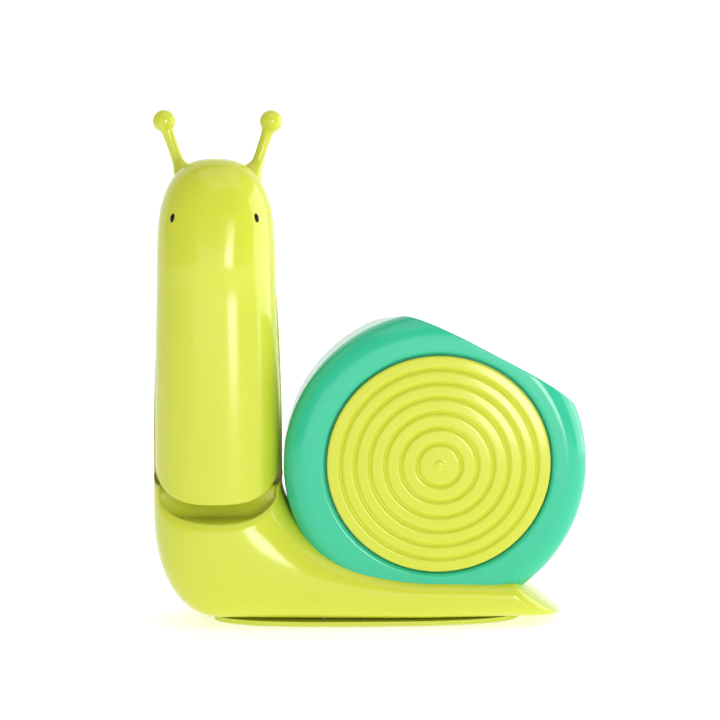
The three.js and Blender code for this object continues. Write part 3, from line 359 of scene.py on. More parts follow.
@dataclass
class MeshParts:
    """Collects points and faces in millimetres and turns them into one object."""

    points: list[np.ndarray] = field(default_factory=list)
    faces: list[list[int]] = field(default_factory=list)
    count: int = 0

    def add_grid(self, grid: np.ndarray, periodic: bool = False, flip: bool = False) -> None:
        """Adds a skin over a grid of points.

        Args:
            grid: Points, as rows by columns by three.
            periodic: Whether the last column meets the first.
            flip: Whether the faces look the other way.
        """
        rows, columns = grid.shape[:2]
        start = self.count
        self.points.append(grid.reshape(-1, 3))
        self.count += rows * columns
        last = columns if periodic else columns - 1
        for row in range(rows - 1):
            for column in range(last):
                beside = (column + 1) % columns
                face = [
                    start + row * columns + column,
                    start + (row + 1) * columns + column,
                    start + (row + 1) * columns + beside,
                    start + row * columns + beside,
                ]
                self.faces.append(face[::-1] if flip else face)

    def add_wall(
        self,
        grid: np.ndarray,
        wall: float | np.ndarray,
        reach: float,
        periodic: bool = False,
        squareness: float = 4.0,
    ) -> None:
        """Adds a moulded wall whose free edges are rounded.

        Args:
            grid: Outer skin, as rows by columns by three, with its normals pointing out.
            wall: Wall thickness, one value or one for each row.
            reach: How far the rounded edges go beyond the grid.
            periodic: Whether the last column meets the first.
            squareness: Power of the edge's section; two is a half circle.
        """
        normals = grid_normals(grid, periodic)
        thick = np.broadcast_to(np.asarray(wall, dtype=float).reshape(-1, 1, 1), (grid.shape[0], 1, 1))
        inner = grid - normals * thick
        self.add_grid(grid, periodic)
        self.add_grid(inner, periodic, flip=True)
        thickness = np.broadcast_to(thick[..., 0], grid.shape[:2])
        for loop, outward in self.free_edges(grid, periodic):
            points = np.array([grid[r, c] for r, c in loop])
            around = np.array([normals[r, c] for r, c in loop])
            depth = np.array([thickness[r, c] for r, c in loop])[:, None]
            tangent = unit(np.roll(points, -1, axis=0) - np.roll(points, 1, axis=0))
            outward = outward - (outward * around).sum(-1, keepdims=True) * around
            outward = unit(outward - 0.999 * (outward * tangent).sum(-1, keepdims=True) * tangent)
            turns = np.linspace(0, math.pi, 11)
            rows = [
                points - around * depth / 2 * (1 - bulge(math.cos(t), squareness))
                + outward * reach * bulge(math.sin(t), squareness)
                for t in turns
            ]
            self.add_grid(np.array(rows), periodic=True)

    @staticmethod
    def free_edges(grid: np.ndarray, periodic: bool) -> list[tuple[list[tuple[int, int]], np.ndarray]]:
        """Lists a grid's free edges as closed loops.

        Args:
            grid: Points, as rows by columns by three.
            periodic: Whether the last column meets the first.

        Returns:
            For each loop its places in the grid and the directions away from the skin.
        """
        rows, columns = grid.shape[:2]
        if periodic:
            first = [(0, c) for c in range(columns)]
            last = [(rows - 1, c) for c in reversed(range(columns))]
            return [(first, grid[0] - grid[2]), (last, (grid[-1] - grid[-3])[::-1])]
        loop = [(0, c) for c in range(columns - 1)]
        loop += [(r, columns - 1) for r in range(rows - 1)]
        loop += [(rows - 1, c) for c in range(columns - 1, 0, -1)]
        loop += [(r, 0) for r in range(rows - 1, 0, -1)]
        outward = []
        for row, column in loop:
            away = np.zeros(3)
            if row == 0:
                away += unit(grid[0, column] - grid[1, column])
            if row == rows - 1:
                away += unit(grid[-1, column] - grid[-2, column])
            if column == 0:
                away += unit(grid[row, 0] - grid[row, 1])
            if column == columns - 1:
                away += unit(grid[row, -1] - grid[row, -2])
            outward.append(away)
        return [(loop, np.array(outward))]

    def build(self, name: str) -> bpy.types.Object:
        """Makes the object, in metres and smooth shaded.

        Args:
            name: The piece's name.

        Returns:
            The new object.
        """
        mesh = bpy.data.meshes.new(name)
        mesh.from_pydata((np.concatenate(self.points) * MM).tolist(), [], self.faces)
        weld = bmesh.new()
        weld.from_mesh(mesh)
        bmesh.ops.remove_doubles(weld, verts=weld.verts, dist=0.001 * MM)
        bmesh.ops.recalc_face_normals(weld, faces=weld.faces)
        weld.to_mesh(mesh)
        weld.free()
        mesh.polygons.foreach_set("use_smooth", [True] * len(mesh.polygons))
        mesh.update()
        piece = bpy.data.objects.new(name, mesh)
        bpy.context.scene.collection.objects.link(piece)
        return piece


def fillet(
    corners: Sequence[tuple[float, float]], radius: float, steps: int = 5,
) -> list[tuple[float, float]]:
    """Rounds the corners of an open or closed outline.

    Args:
        corners: The outline's corners; it is closed where the last repeats the first.
        radius: Largest corner radius.
        steps: Steps in each corner.

    Returns:
        The outline with its corners rounded.
    """
    closed = corners[0] == corners[-1]
    points = [Vector(c) for c in (corners[:-1] if closed else corners)]
    count = len(points)
    outline: list[tuple[float, float]] = []
    for k, corner in enumerate(points):
        if not closed and k in (0, count - 1):
            outline.append(tuple(corner))
            continue
        before, after = points[k - 1] - corner, points[(k + 1) % count] - corner
        cut = min(radius, before.length * 0.45, after.length * 0.45)
        start, end = corner + before.normalized() * cut, corner + after.normalized() * cut
        for step in range(steps + 1):
            share = step / steps
            place = start.lerp(corner, share).lerp(corner.lerp(end, share), share)
            outline.append(tuple(place))
    if closed:
        outline.append(outline[0])
    return outline


def turned(
    outline: Sequence[tuple[float, float]], centre: tuple[float, float], sides: int = 192, oval: float = 1.0,
) -> np.ndarray:
    """Turns an outline about an axis along y.

    Args:
        outline: Pairs of radius and y, so ordered that the faces look out.
        centre: The axis, as x and z.
        sides: Steps round the axis.
        oval: Height over width.

    Returns:
        A grid whose columns go round.
    """
    turn = np.arange(sides) * 2 * math.pi / sides
    radius = np.array([r for r, _ in outline])[:, None]
    y = np.array([v for _, v in outline])[:, None] * np.ones_like(turn)
    return np.stack(
        [centre[0] + radius * np.cos(turn), y, centre[1] + oval * radius * np.sin(turn)], axis=-1,
    )


def middle(node: str) -> Vector:
    """Gives the middle of a node's box, in millimetres."""
    low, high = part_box(node)
    return (Vector(low) + Vector(high)) / 2 / MM


def dress(piece: bpy.types.Object, finish: Finish) -> None:
    """Gives a piece its finish."""
    piece.data.materials.clear()
    piece.data.materials.append(finish.material())


def dress_node(node: str, finish: Finish) -> None:
    """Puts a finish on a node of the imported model, whose mesh stays as it is."""
    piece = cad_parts[node]
    for holder in piece.material_slots:
        holder.material = finish.material()
    LOG.info("dressed %s in %s", node, finish.name)


def stand_for(piece: bpy.types.Object, body: str, slot: str, *nodes: str) -> None:
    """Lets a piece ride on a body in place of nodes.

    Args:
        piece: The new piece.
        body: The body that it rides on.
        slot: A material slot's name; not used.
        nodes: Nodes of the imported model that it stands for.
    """
    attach(piece, body)
    if nodes:
        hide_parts(*nodes)
    LOG.info("built %s on %s with %d faces", piece.name, body, len(piece.data.polygons))


# ------------------------------------------------------------------ the body


@dataclass
class Body:
    """The lime body: an upright neck that bends into a long foot, moulded in two halves.

    All sizes are in millimetres.
    """

    neck_x: float = field(default_factory=lambda: middle("head_cover").x)
    half_width: float = 17.3
    taper: float = 1.2
    taper_foot: float = 40.0
    head_z: float = 100.0
    head_top: float = 122.9
    dome_power: float = 2.7
    crown_power: float = 4.0
    neck_power: float = 2.25
    neck_depth: float = 17.3
    belly_z: float = 30.0
    belly_power: float = 2.2
    bend_z: float = 38.0
    bend_end: float = 18.6
    bend_power: float = 1.8
    foot_top: float = 13.0
    foot_depth: float = 16.5
    foot_power: float = 3.6
    tail_start: float = 38.5
    tail_tip: float = 52.2
    tail_power: float = 2.8
    tip_z: float = 2.2
    bottom: float = 1.9
    low: float = 1.6
    wall: float = 2.2
    seam: float = 0.15
    edge: float = 0.45
    lip_z: float = 28.4
    lip_rise: float = 15.0
    lip_power: float = 2.2
    lip_round: float = 2.2
    heel_reach: float = 7.44
    heel_clearance: float = 0.6
    bowl_reach: float = 3.4
    bowl_end: float = 0.97
    socket_fit: float = 0.97
    socket_draw: float = 0.04
    side_draw: float = 0.1
    side_from: float = 0.6
    lip_drop: float = 0.5
    lip_rows: int = 10
    thin_rows: int = 40
    lip_wall: float = 0.3
    lip_edge: float = 0.15
    stalk_radius: float = 1.6
    flare_most: float = 2.4
    flare_lean: float = 0.55
    flare_back: float = 0.2
    neck_rings_from: float = 99.2
    neck_rings_to: float = 46.0
    jaw_foot: tuple[float, float] = (0.15, 50.0)
    jaw_top: tuple[float, float] = (9.8, 118.1)
    pin: tuple[float, float] = (-9.8, 37.2)
    stalk_base: tuple[float, float, float] = (7.6, 12.2, 114.0)
    stalk_top: tuple[float, float, float] = (14.5, 12.2, 134.3)
    ball_radius: float = 3.06

    def width_at(self, z: np.ndarray | float) -> np.ndarray:
        """Gives the neck's half width at a height."""
        climb = np.clip((z - self.taper_foot) / (self.head_z - self.taper_foot), 0, 1)
        return self.half_width - self.taper * climb ** 2 - 0.05 * np.maximum(0, z - self.head_z)

    def dome_ring(self, turn: float, top: float, depth: float, depth_power: float) -> list[float]:
        """Gives one ring of a dome.

        Args:
            turn: Zero at the crown and a quarter turn at the dome's foot.
            top: Height of the crown.
            depth: Depth of the dome's foot.
            depth_power: Squareness of the dome from front to back.

        Returns:
            The ring's inner x and z, outer x and z, depth and squareness.
        """
        lift = float(bulge(math.cos(turn), self.dome_power))
        spread = float(bulge(math.sin(turn), self.dome_power))
        z = self.head_z + (top - self.head_z) * lift
        half = float(self.width_at(z)) * spread
        deep = max(0.0, 1 - lift ** depth_power) ** (1 / depth_power)
        return [self.neck_x + half, z, self.neck_x - half, z, depth * deep, self.neck_power]

    def neck_ring(self, z: float, depth: float) -> list[float]:
        """Gives one level ring of the neck."""
        half = float(self.width_at(z))
        return [self.neck_x + half, z, self.neck_x - half, z, depth, self.neck_power]

    def bend_ring(self, share: float) -> list[float]:
        """Gives one ring of the bend; its share is zero at the neck and one at the foot."""
        turn = share * math.pi / 2
        start = self.neck_x + self.half_width
        belly = min(1.0, 2 * share) * math.pi / 2
        along = max(0.0, 2 * share - 1) * (self.bend_end - 4 - self.neck_x)
        return [
            self.bend_end - (self.bend_end - start) * float(bulge(math.cos(turn), self.bend_power)),
            self.bend_z - (self.bend_z - self.foot_top) * float(bulge(math.sin(turn), self.bend_power)),
            self.neck_x - self.half_width * float(bulge(math.cos(belly), self.belly_power)) + along,
            self.belly_z - (self.belly_z - self.low) * float(bulge(math.sin(belly), self.belly_power)),
            self.neck_depth + (self.foot_depth - self.neck_depth) * share,
            self.neck_power + (self.foot_power - self.neck_power) * share,
        ]

    def tail_ring(self, turn: float) -> list[float]:
        """Gives one ring of the tail; a quarter turn is the tip."""
        reach = math.sin(turn)
        x = self.tail_start + (self.tail_tip - self.tail_start) * reach
        return [
            x, self.foot_top + (self.tip_z - self.foot_top) * reach, x, self.low,
            self.foot_depth * math.cos(turn), self.tail_power + (self.neck_power - self.tail_power) * reach,
        ]

    def body_rings(self) -> np.ndarray:
        """Lists the body's rings from the crown to the tip of the tail."""
        rings = [
            self.dome_ring(t, self.head_top, self.neck_depth, self.crown_power)
            for t in np.linspace(0.02, math.pi / 2, 60)
        ]
        heights = np.linspace(self.neck_rings_from, self.neck_rings_to, 60)
        rings += [self.neck_ring(z, self.neck_depth) for z in heights]
        start = np.array(self.neck_ring(self.neck_rings_to, self.neck_depth))
        end = np.array(self.bend_ring(0))
        rings += [list(start + (end - start) * share) for share in np.linspace(0, 1, 14)[1:-1]]
        rings += [self.bend_ring(share) for share in np.linspace(0, 1, 110)]
        start = np.array(self.bend_ring(1))
        end = np.array([
            self.tail_start, self.foot_top, self.tail_start, self.low, self.foot_depth, self.tail_power,
        ])
        rings += [list(start + (end - start) * share) for share in np.linspace(0, 1, 24)[1:-1]]
        rings += [self.tail_ring(turn) for turn in np.linspace(0, math.radians(87.5), 50)]
        return np.array(rings)

    @staticmethod
    def on_rings(
        rings: np.ndarray, place: np.ndarray, share: np.ndarray, clip: Callable, side: int,
    ) -> np.ndarray:
        """Gives points on one half of a ringed skin.

        Args:
            rings: The skin's rings.
            place: Which ring each point is on; fractions lie between rings.
            share: Where each point is round its half ring, from zero to one.
            clip: Gives how far from the middle plane the half starts, at a height.
            side: Minus one for the front half and one for the back.

        Returns:
            The points.
        """
        at = [np.interp(place, np.arange(len(rings)), rings[:, k]) for k in range(6)]
        inner_x, inner_z, outer_x, outer_z, depth, power = at
        start = np.minimum(1.0, clip((inner_z + outer_z) / 2) / np.maximum(depth, 1e-6)) ** (power / 2)
        first = np.arcsin(start)
        turn = first + (math.pi - 2 * first) * share
        across, deep = bulge(np.cos(turn), power), bulge(np.sin(turn), power)
        x = (inner_x + outer_x) / 2 - across * (inner_x - outer_x) / 2
        z = (inner_z + outer_z) / 2 - across * (inner_z - outer_z) / 2
        return np.stack([x, side * deep * depth, z], axis=-1)

    def lip_at(self, x: np.ndarray) -> np.ndarray:
        """Gives the height of the lip under the cover."""
        share = np.minimum(1, np.abs(x - self.neck_x) / self.half_width)
        return self.lip_z + self.lip_rise * (1 - (1 - share ** self.lip_power) ** (1 / self.lip_power))

    def walls(self, rings: np.ndarray, place: np.ndarray) -> np.ndarray:
        """Gives the wall at each row, thinner where the tail runs out."""
        height = np.interp(place, np.arange(len(rings)), rings[:, 1] - rings[:, 3])
        depth = np.interp(place, np.arange(len(rings)), rings[:, 4])
        wide = np.interp(
            place, np.arange(len(rings)), np.hypot(rings[:, 0] - rings[:, 2], rings[:, 1] - rings[:, 3]),
        )
        tail = np.where(
            rings[np.minimum(place.astype(int), len(rings) - 1), 0] > self.tail_start, height, wide,
        )
        return np.minimum(self.wall, 0.35 * np.minimum(np.maximum(tail - self.bottom, 0.3), depth))

    def rest_on_sole(self, grid: np.ndarray) -> np.ndarray:
        """Flattens the underside where the sole is fitted."""
        grid[..., 2] = np.maximum(grid[..., 2], self.bottom)
        return grid

    def front_half(self) -> bpy.types.Object:
        """Builds the front half, whose lip rolls over into the socket under the head cover."""
        rings = self.body_rings()
        columns, rows = 161, 250
        share = np.linspace(0, 1, columns)
        clip = lambda z: self.seam + self.edge
        lip_place = self.find_edge(rings, share, clip, lambda x: self.lip_at(x))
        along = np.linspace(0, 1, rows)[:, None]
        place = lip_place[None, :] + (len(rings) - 1 - lip_place[None, :]) * along
        outside = self.on_rings(rings, place, share[None, :], clip, -1)
        socket = self.socket(outside[0])
        below_lip = outside[self.lip_rows:]
        grid = self.rest_on_sole(np.concatenate([socket, self.rounded_lip(socket, outside), below_lip]))
        inner_rows = grid.shape[0] - len(below_lip)
        lower_walls = self.walls(rings, place[self.lip_rows:, columns // 2])
        walls = np.concatenate([np.full(inner_rows, self.lip_wall), lower_walls])
        thin = slice(0, inner_rows + self.thin_rows)
        walls[thin] = np.minimum(walls[thin], self.lip_wall)
        parts = MeshParts()
        parts.add_wall(grid, walls, self.lip_edge)
        return parts.build("body_front_moulding")

    @staticmethod
    def find_edge(
        rings: np.ndarray, share: np.ndarray, clip: Callable, edge: Callable,
        low: float = 60.0, high: float = 240.0,
    ) -> np.ndarray:
        """Finds where a skin meets an edge whose height depends on x.

        Args:
            rings: The skin's rings.
            share: Where the points are round their half ring.
            clip: Gives how far from the middle plane the half starts.
            edge: Gives the edge's height at an x.
            low: A ring above the edge.
            high: A ring below the edge.

        Returns:
            The ring that each point is on.
        """
        above, below = np.full(share.shape, low), np.full(share.shape, high)
        for _ in range(30):
            half = (above + below) / 2
            points = Body.on_rings(rings, half, share, clip, -1)
            over = points[:, 2] > edge(points[:, 0])
            above, below = np.where(over, half, above), np.where(over, below, half)
        return above

    def rounded_lip(self, socket: np.ndarray, outside: np.ndarray) -> np.ndarray:
        """Rolls the lip over with a soft curve between the socket and the outside.

        Args:
            socket: The socket's skin, whose last row is inside the lip.
            outside: The outer skin, whose first row is the lip.

        Returns:
            The rows between the two.
        """
        start, corner, end = socket[-1], outside[0], outside[self.lip_rows]
        share = np.linspace(0, 1, 14)[1:-1, None, None]
        return (1 - share) ** 2 * start + 2 * share * (1 - share) * corner + share ** 2 * end

    def socket(self, lip: np.ndarray) -> np.ndarray:
        """Gives the shallow socket that the cover's heel turns in.

        Args:
            lip: Points along the lip.

        Returns:
            The socket's skin, from its back to just inside the lip.
        """
        pin_y, pin_z = self.pin
        radius = self.heel_reach + self.heel_clearance
        lip_y, lip_z = lip[None, :, 1], lip[None, :, 2]
        front_y = np.minimum(lip_y + self.lip_round, -self.seam)
        back_y = np.maximum(np.minimum(pin_y + self.bowl_end * self.bowl_reach, -self.seam), front_y)
        inwards = np.linspace(1, 0, 60)[:, None]
        y = front_y + (back_y - front_y) * inwards
        from_middle = lip[None, :, 0] - self.neck_x
        across = np.abs(from_middle) / self.half_width
        beside = np.clip((across - self.side_from) / (1 - self.side_from), 0, 1)
        draw = self.socket_draw + self.side_draw * beside
        x = self.neck_x + from_middle * (self.socket_fit - draw * inwards)
        behind = np.clip((y - pin_y) / self.bowl_reach, 0, 1)
        bowl = pin_z - radius * np.sqrt(1 - behind ** 2)
        lowest = pin_z - radius
        reach = np.clip((y - lip_y) / (pin_y + self.neck_depth), 0, 1)
        top = lip_z - self.lip_drop
        slope = top + (lowest - top) * np.sqrt(reach)
        floor = np.where(y > pin_y, bowl, slope)
        return np.stack([x, y, np.maximum(floor, np.minimum(lip_z, slope))], axis=-1)

    def jaw_at(self, z: np.ndarray) -> np.ndarray:
        """Gives where the back half's front edge lies at a height."""
        (y0, z0), (y1, z1) = self.jaw_foot, self.jaw_top
        return y0 + (y1 - y0) / (z1 - z0) * np.maximum(0, z - z0)

    def back_half(self) -> bpy.types.Object:
        """Builds the back half, which carries the two antennae."""
        rings = self.body_rings()
        clip = lambda z: self.jaw_at(z) + self.edge
        reach = rings[:, 4] - clip((rings[:, 1] + rings[:, 3]) / 2)
        first = int(np.argmax(reach > 0.4))
        place = np.linspace(first, len(rings) - 1, 300)
        share = np.linspace(1, 0, 121)
        grid = self.rest_on_sole(self.on_rings(rings, place[:, None], share[None, :], clip, 1))
        parts = MeshParts()
        parts.add_wall(grid, self.walls(rings, place), self.edge)
        for side in (-1, 1):
            parts.add_grid(self.antenna(side), periodic=True)
        return parts.build("body_back_moulding")

    def antenna(self, side: int) -> np.ndarray:
        """Gives one antenna, flared where it grows out of the crown and ending in a ball.

        Args:
            side: Minus one for the left and one for the right.

        Returns:
            A grid whose columns go round the stalk.
        """
        base, top = np.array(self.stalk_base), np.array(self.stalk_top)
        axis = unit(top - base) * [side, 1, 1]
        length = float(np.linalg.norm(top - base))
        heights = [0.4, 2.1, 5.8, 7.4, 8.7, 9.8, 13.2, 17, length - self.ball_radius * 0.82]
        radii = [4.0, 4.0, 3.6, 2.9, 2.1, 1.5, 1.45, 1.5, self.ball_radius * 0.57]
        up = np.linspace(0.4, heights[-1], 80)
        width = np.interp(up, heights, radii)
        for _ in range(14):
            width[1:-1] = (width[:-2] + 2 * width[1:-1] + width[2:]) / 4
        turns = np.linspace(math.asin(0.57), math.pi, 30)
        up = np.concatenate([[0.3], up, length - self.ball_radius * np.cos(turns)[1:]])
        width = np.concatenate([[0.01], width, self.ball_radius * np.sin(turns)[1:]])
        beside = unit(np.cross([0.0, 1.0, 0.0], axis))
        ahead = np.cross(axis, beside)
        turn = np.arange(48) * 2 * math.pi / 48
        around = np.cos(turn)[:, None] * beside + np.sin(turn)[:, None] * ahead
        foot = np.array([self.neck_x + side * base[0], base[1], base[2]])
        grid = foot + up[:, None, None] * axis + width[:, None, None] * around[None]
        # The flare grows towards the middle of the head only.
        swell = np.clip(width - self.stalk_radius, 0, self.flare_most) * self.flare_lean
        flare = np.where(up < length - 2 * self.ball_radius, swell, 0)
        grid[..., 0] -= side * flare[:, None]
        grid[..., 1] += self.flare_back * flare[:, None]
        return grid[:, ::-1]

    def build(self) -> None:
        """Builds and dresses the body, its sole and the pieces inside it."""
        front, back = self.front_half(), self.back_half()
        stand_for(front, "root", "lime_shell", "body_front_shell")
        stand_for(back, "root", "lime_shell", "body_back_shell")
        for piece in (front, back):
            dress(piece, LIME_ABS)
        dress_node("sole_plate", OLIVE_ABS)
        dress_node("grip_pad", SHEET_RUBBER)
        dress_node("ballast_weight", CAST_IRON)
        for number in range(1, 5):
            dress_node(f"sole_screw_{number}", ZINC_STEEL)
        for number in range(1, 3):
            dress_node(f"shell_screw_{number}", ZINC_STEEL)


# ------------------------------------------------------------------ the head cover


@dataclass
class HeadCover:
    """The long domed cover of the stapler, with a soft muzzle and two small eyes.

    All sizes are in millimetres.
    """

    body: Body
    top: float = 124.1
    depth: float = 16.2
    wall: float = 2.0
    back_edge: float = 3.5
    edge: float = 0.5
    bottom: float = 33.4
    corner: float = 14.0
    corner_power: float = 3.0
    muzzle_z: float = 96.8
    muzzle_rise: float = 0.9
    muzzle_above: float = 7.0
    muzzle_below: float = 5.6
    slim: float = 0.026
    slim_from: float = 112.0
    slim_over: float = 22.0
    eye_across: float = 11.0
    eye_z: float = 108.2
    eye_half: tuple[float, float, float] = (0.84, 0.9, 1.42)
    eye_lean: float = 0.17
    ear_x: tuple[float, float] = (8.3, 10.4)
    ear_radius: float = 3.0

    def rings(self) -> np.ndarray:
        """Lists the cover's rings from the crown down the neck."""
        rings = [
            self.body.dome_ring(t, self.top, self.depth, self.body.dome_power)
            for t in np.linspace(0.02, math.pi / 2, 90)
        ]
        rings += [self.body.neck_ring(z, self.depth) for z in np.linspace(99.5, 28, 150)]
        return np.array(rings)

    def with_muzzle(self, grid: np.ndarray) -> np.ndarray:
        """Raises the muzzle, a bump that falls off faster below than above."""
        above = grid[..., 2] > self.muzzle_z
        spread = np.where(above, self.muzzle_above, self.muzzle_below)
        height = (grid[..., 2] - self.muzzle_z) / spread
        across = (grid[..., 0] - self.body.neck_x) / self.body.half_width
        grid[..., 1] -= self.muzzle_rise * np.exp(-height ** 2) * np.maximum(0, 1 - across ** 2) ** 2
        narrow = np.clip((self.slim_from - grid[..., 2]) / self.slim_over, 0, 1)
        grid[..., 0] -= (grid[..., 0] - self.body.neck_x) * self.slim * narrow
        return grid

    def lowest_at(self, x: np.ndarray) -> np.ndarray:
        """Gives the height of the cover's lower edge."""
        share = np.minimum(1, np.abs(x - self.body.neck_x) / self.body.half_width)
        rise = 1 - (1 - share ** self.corner_power) ** (1 / self.corner_power)
        return self.bottom + self.corner * rise

    def shell(self) -> bpy.types.Object:
        """Builds the thin-walled cover with its two hinge ears."""
        rings = self.rings()
        clip = lambda z: self.back_edge + self.edge
        first = int(np.argmax(rings[:, 4] > self.back_edge + self.edge + 0.1))
        columns, rows = 161, 300
        share = np.linspace(0, 1, columns)
        low = Body.find_edge(
            rings, share, clip, lambda x: self.lowest_at(x) + self.edge, 100.0, len(rings) - 1.0,
        )
        along = np.linspace(0, 1, rows)[:, None]
        place = first + (low[None, :] - first) * along
        grid = self.with_muzzle(self.body.on_rings(rings, place, share[None, :], clip, -1))
        parts = MeshParts()
        parts.add_wall(grid, self.wall, self.edge)
        for side in (-1, 1):
            self.add_ear(parts, side)
        return parts.build("head_cover_moulding")

    def add_ear(self, parts: MeshParts, side: int) -> None:
        """Adds one ear that turns on the hinge pin.

        Args:
            parts: The mesh that the ear goes into.
            side: Minus one for the left ear and one for the right.
        """
        pin_y, pin_z = self.body.pin
        wall_y = -self.depth + 2.6
        outline = [(wall_y, pin_z + 8), (pin_y, pin_z + self.ear_radius)]
        for turn in np.linspace(90, -90, 13)[1:]:
            angle = math.radians(turn)
            outline.append((
                pin_y + self.ear_radius * math.cos(angle), pin_z + self.ear_radius * math.sin(angle),
            ))
        outline.append((wall_y, max(pin_z - 4, self.bottom + 2)))
        near, far = sorted(self.body.neck_x + side * value for value in self.ear_x)
        bevel = 0.3
        middle_y = sum(y for y, _ in outline) / len(outline)
        middle_z = sum(z for _, z in outline) / len(outline)
        rows = []
        for x, scale in (
            (near, 0.0), (near, 0.93), (near + bevel, 1.0), (far - bevel, 1.0), (far, 0.93), (far, 0.0),
        ):
            rows.append([
                (x, middle_y + (y - middle_y) * scale, middle_z + (z - middle_z) * scale) for y, z in outline
            ])
        parts.add_grid(np.array(rows), periodic=True)

    def eye(self, side: int) -> bpy.types.Object:
        """Builds one eye, a small oval plug whose top leans towards the middle.

        Args:
            side: Minus one for the left eye and one for the right.

        Returns:
            The eye.
        """
        half = float(self.body.width_at(self.eye_z)) * 0.98
        power = self.body.neck_power
        y = -self.depth * 0.98 * (1 - (self.eye_across / half) ** power) ** (1 / power)
        out = math.atan2(
            (self.eye_across / half) ** (power - 1) / half, (-y / self.depth) ** (power - 1) / self.depth,
        )
        turn, rise = np.meshgrid(np.arange(48) * 2 * math.pi / 48, np.linspace(0.02, math.pi - 0.02, 33))
        size = self.eye_half
        local = np.stack([
            size[0] * np.sin(rise) * np.cos(turn), size[1] * np.sin(rise) * np.sin(turn),
            size[2] * np.cos(rise),
        ], axis=-1)
        lean = -side * self.eye_lean
        tilt = np.array([
            [math.cos(lean), 0, math.sin(lean)], [0, 1, 0], [-math.sin(lean), 0, math.cos(lean)],
        ])
        yaw = side * out
        spin = np.array([[math.cos(yaw), -math.sin(yaw), 0], [math.sin(yaw), math.cos(yaw), 0], [0, 0, 1]])
        sunk = size[1] - 0.4
        centre = np.array([
            self.body.neck_x + side * (self.eye_across - sunk * math.sin(out)),
            y + sunk * math.cos(out), self.eye_z,
        ])
        parts = MeshParts()
        parts.add_grid(local @ (spin @ tilt).T + centre, periodic=True)
        return parts.build("eye_plug_left" if side < 0 else "eye_plug_right")

    def build(self) -> None:
        """Builds and dresses the cover, its eyes and the driver that it carries."""
        cover = self.shell()
        stand_for(cover, "cover", "lime_shell", "head_cover")
        dress(cover, LIME_ABS)
        for side, node in ((-1, "eye_left"), (1, "eye_right")):
            plug = self.eye(side)
            stand_for(plug, "cover", "black_eye", node)
            dress(plug, BLACK_ABS)
        dress_node("driver_carrier", SPRING_WIRE)
        dress_node("driver_blade", GROUND_STEEL)


# ------------------------------------------------------------------ the tape shell


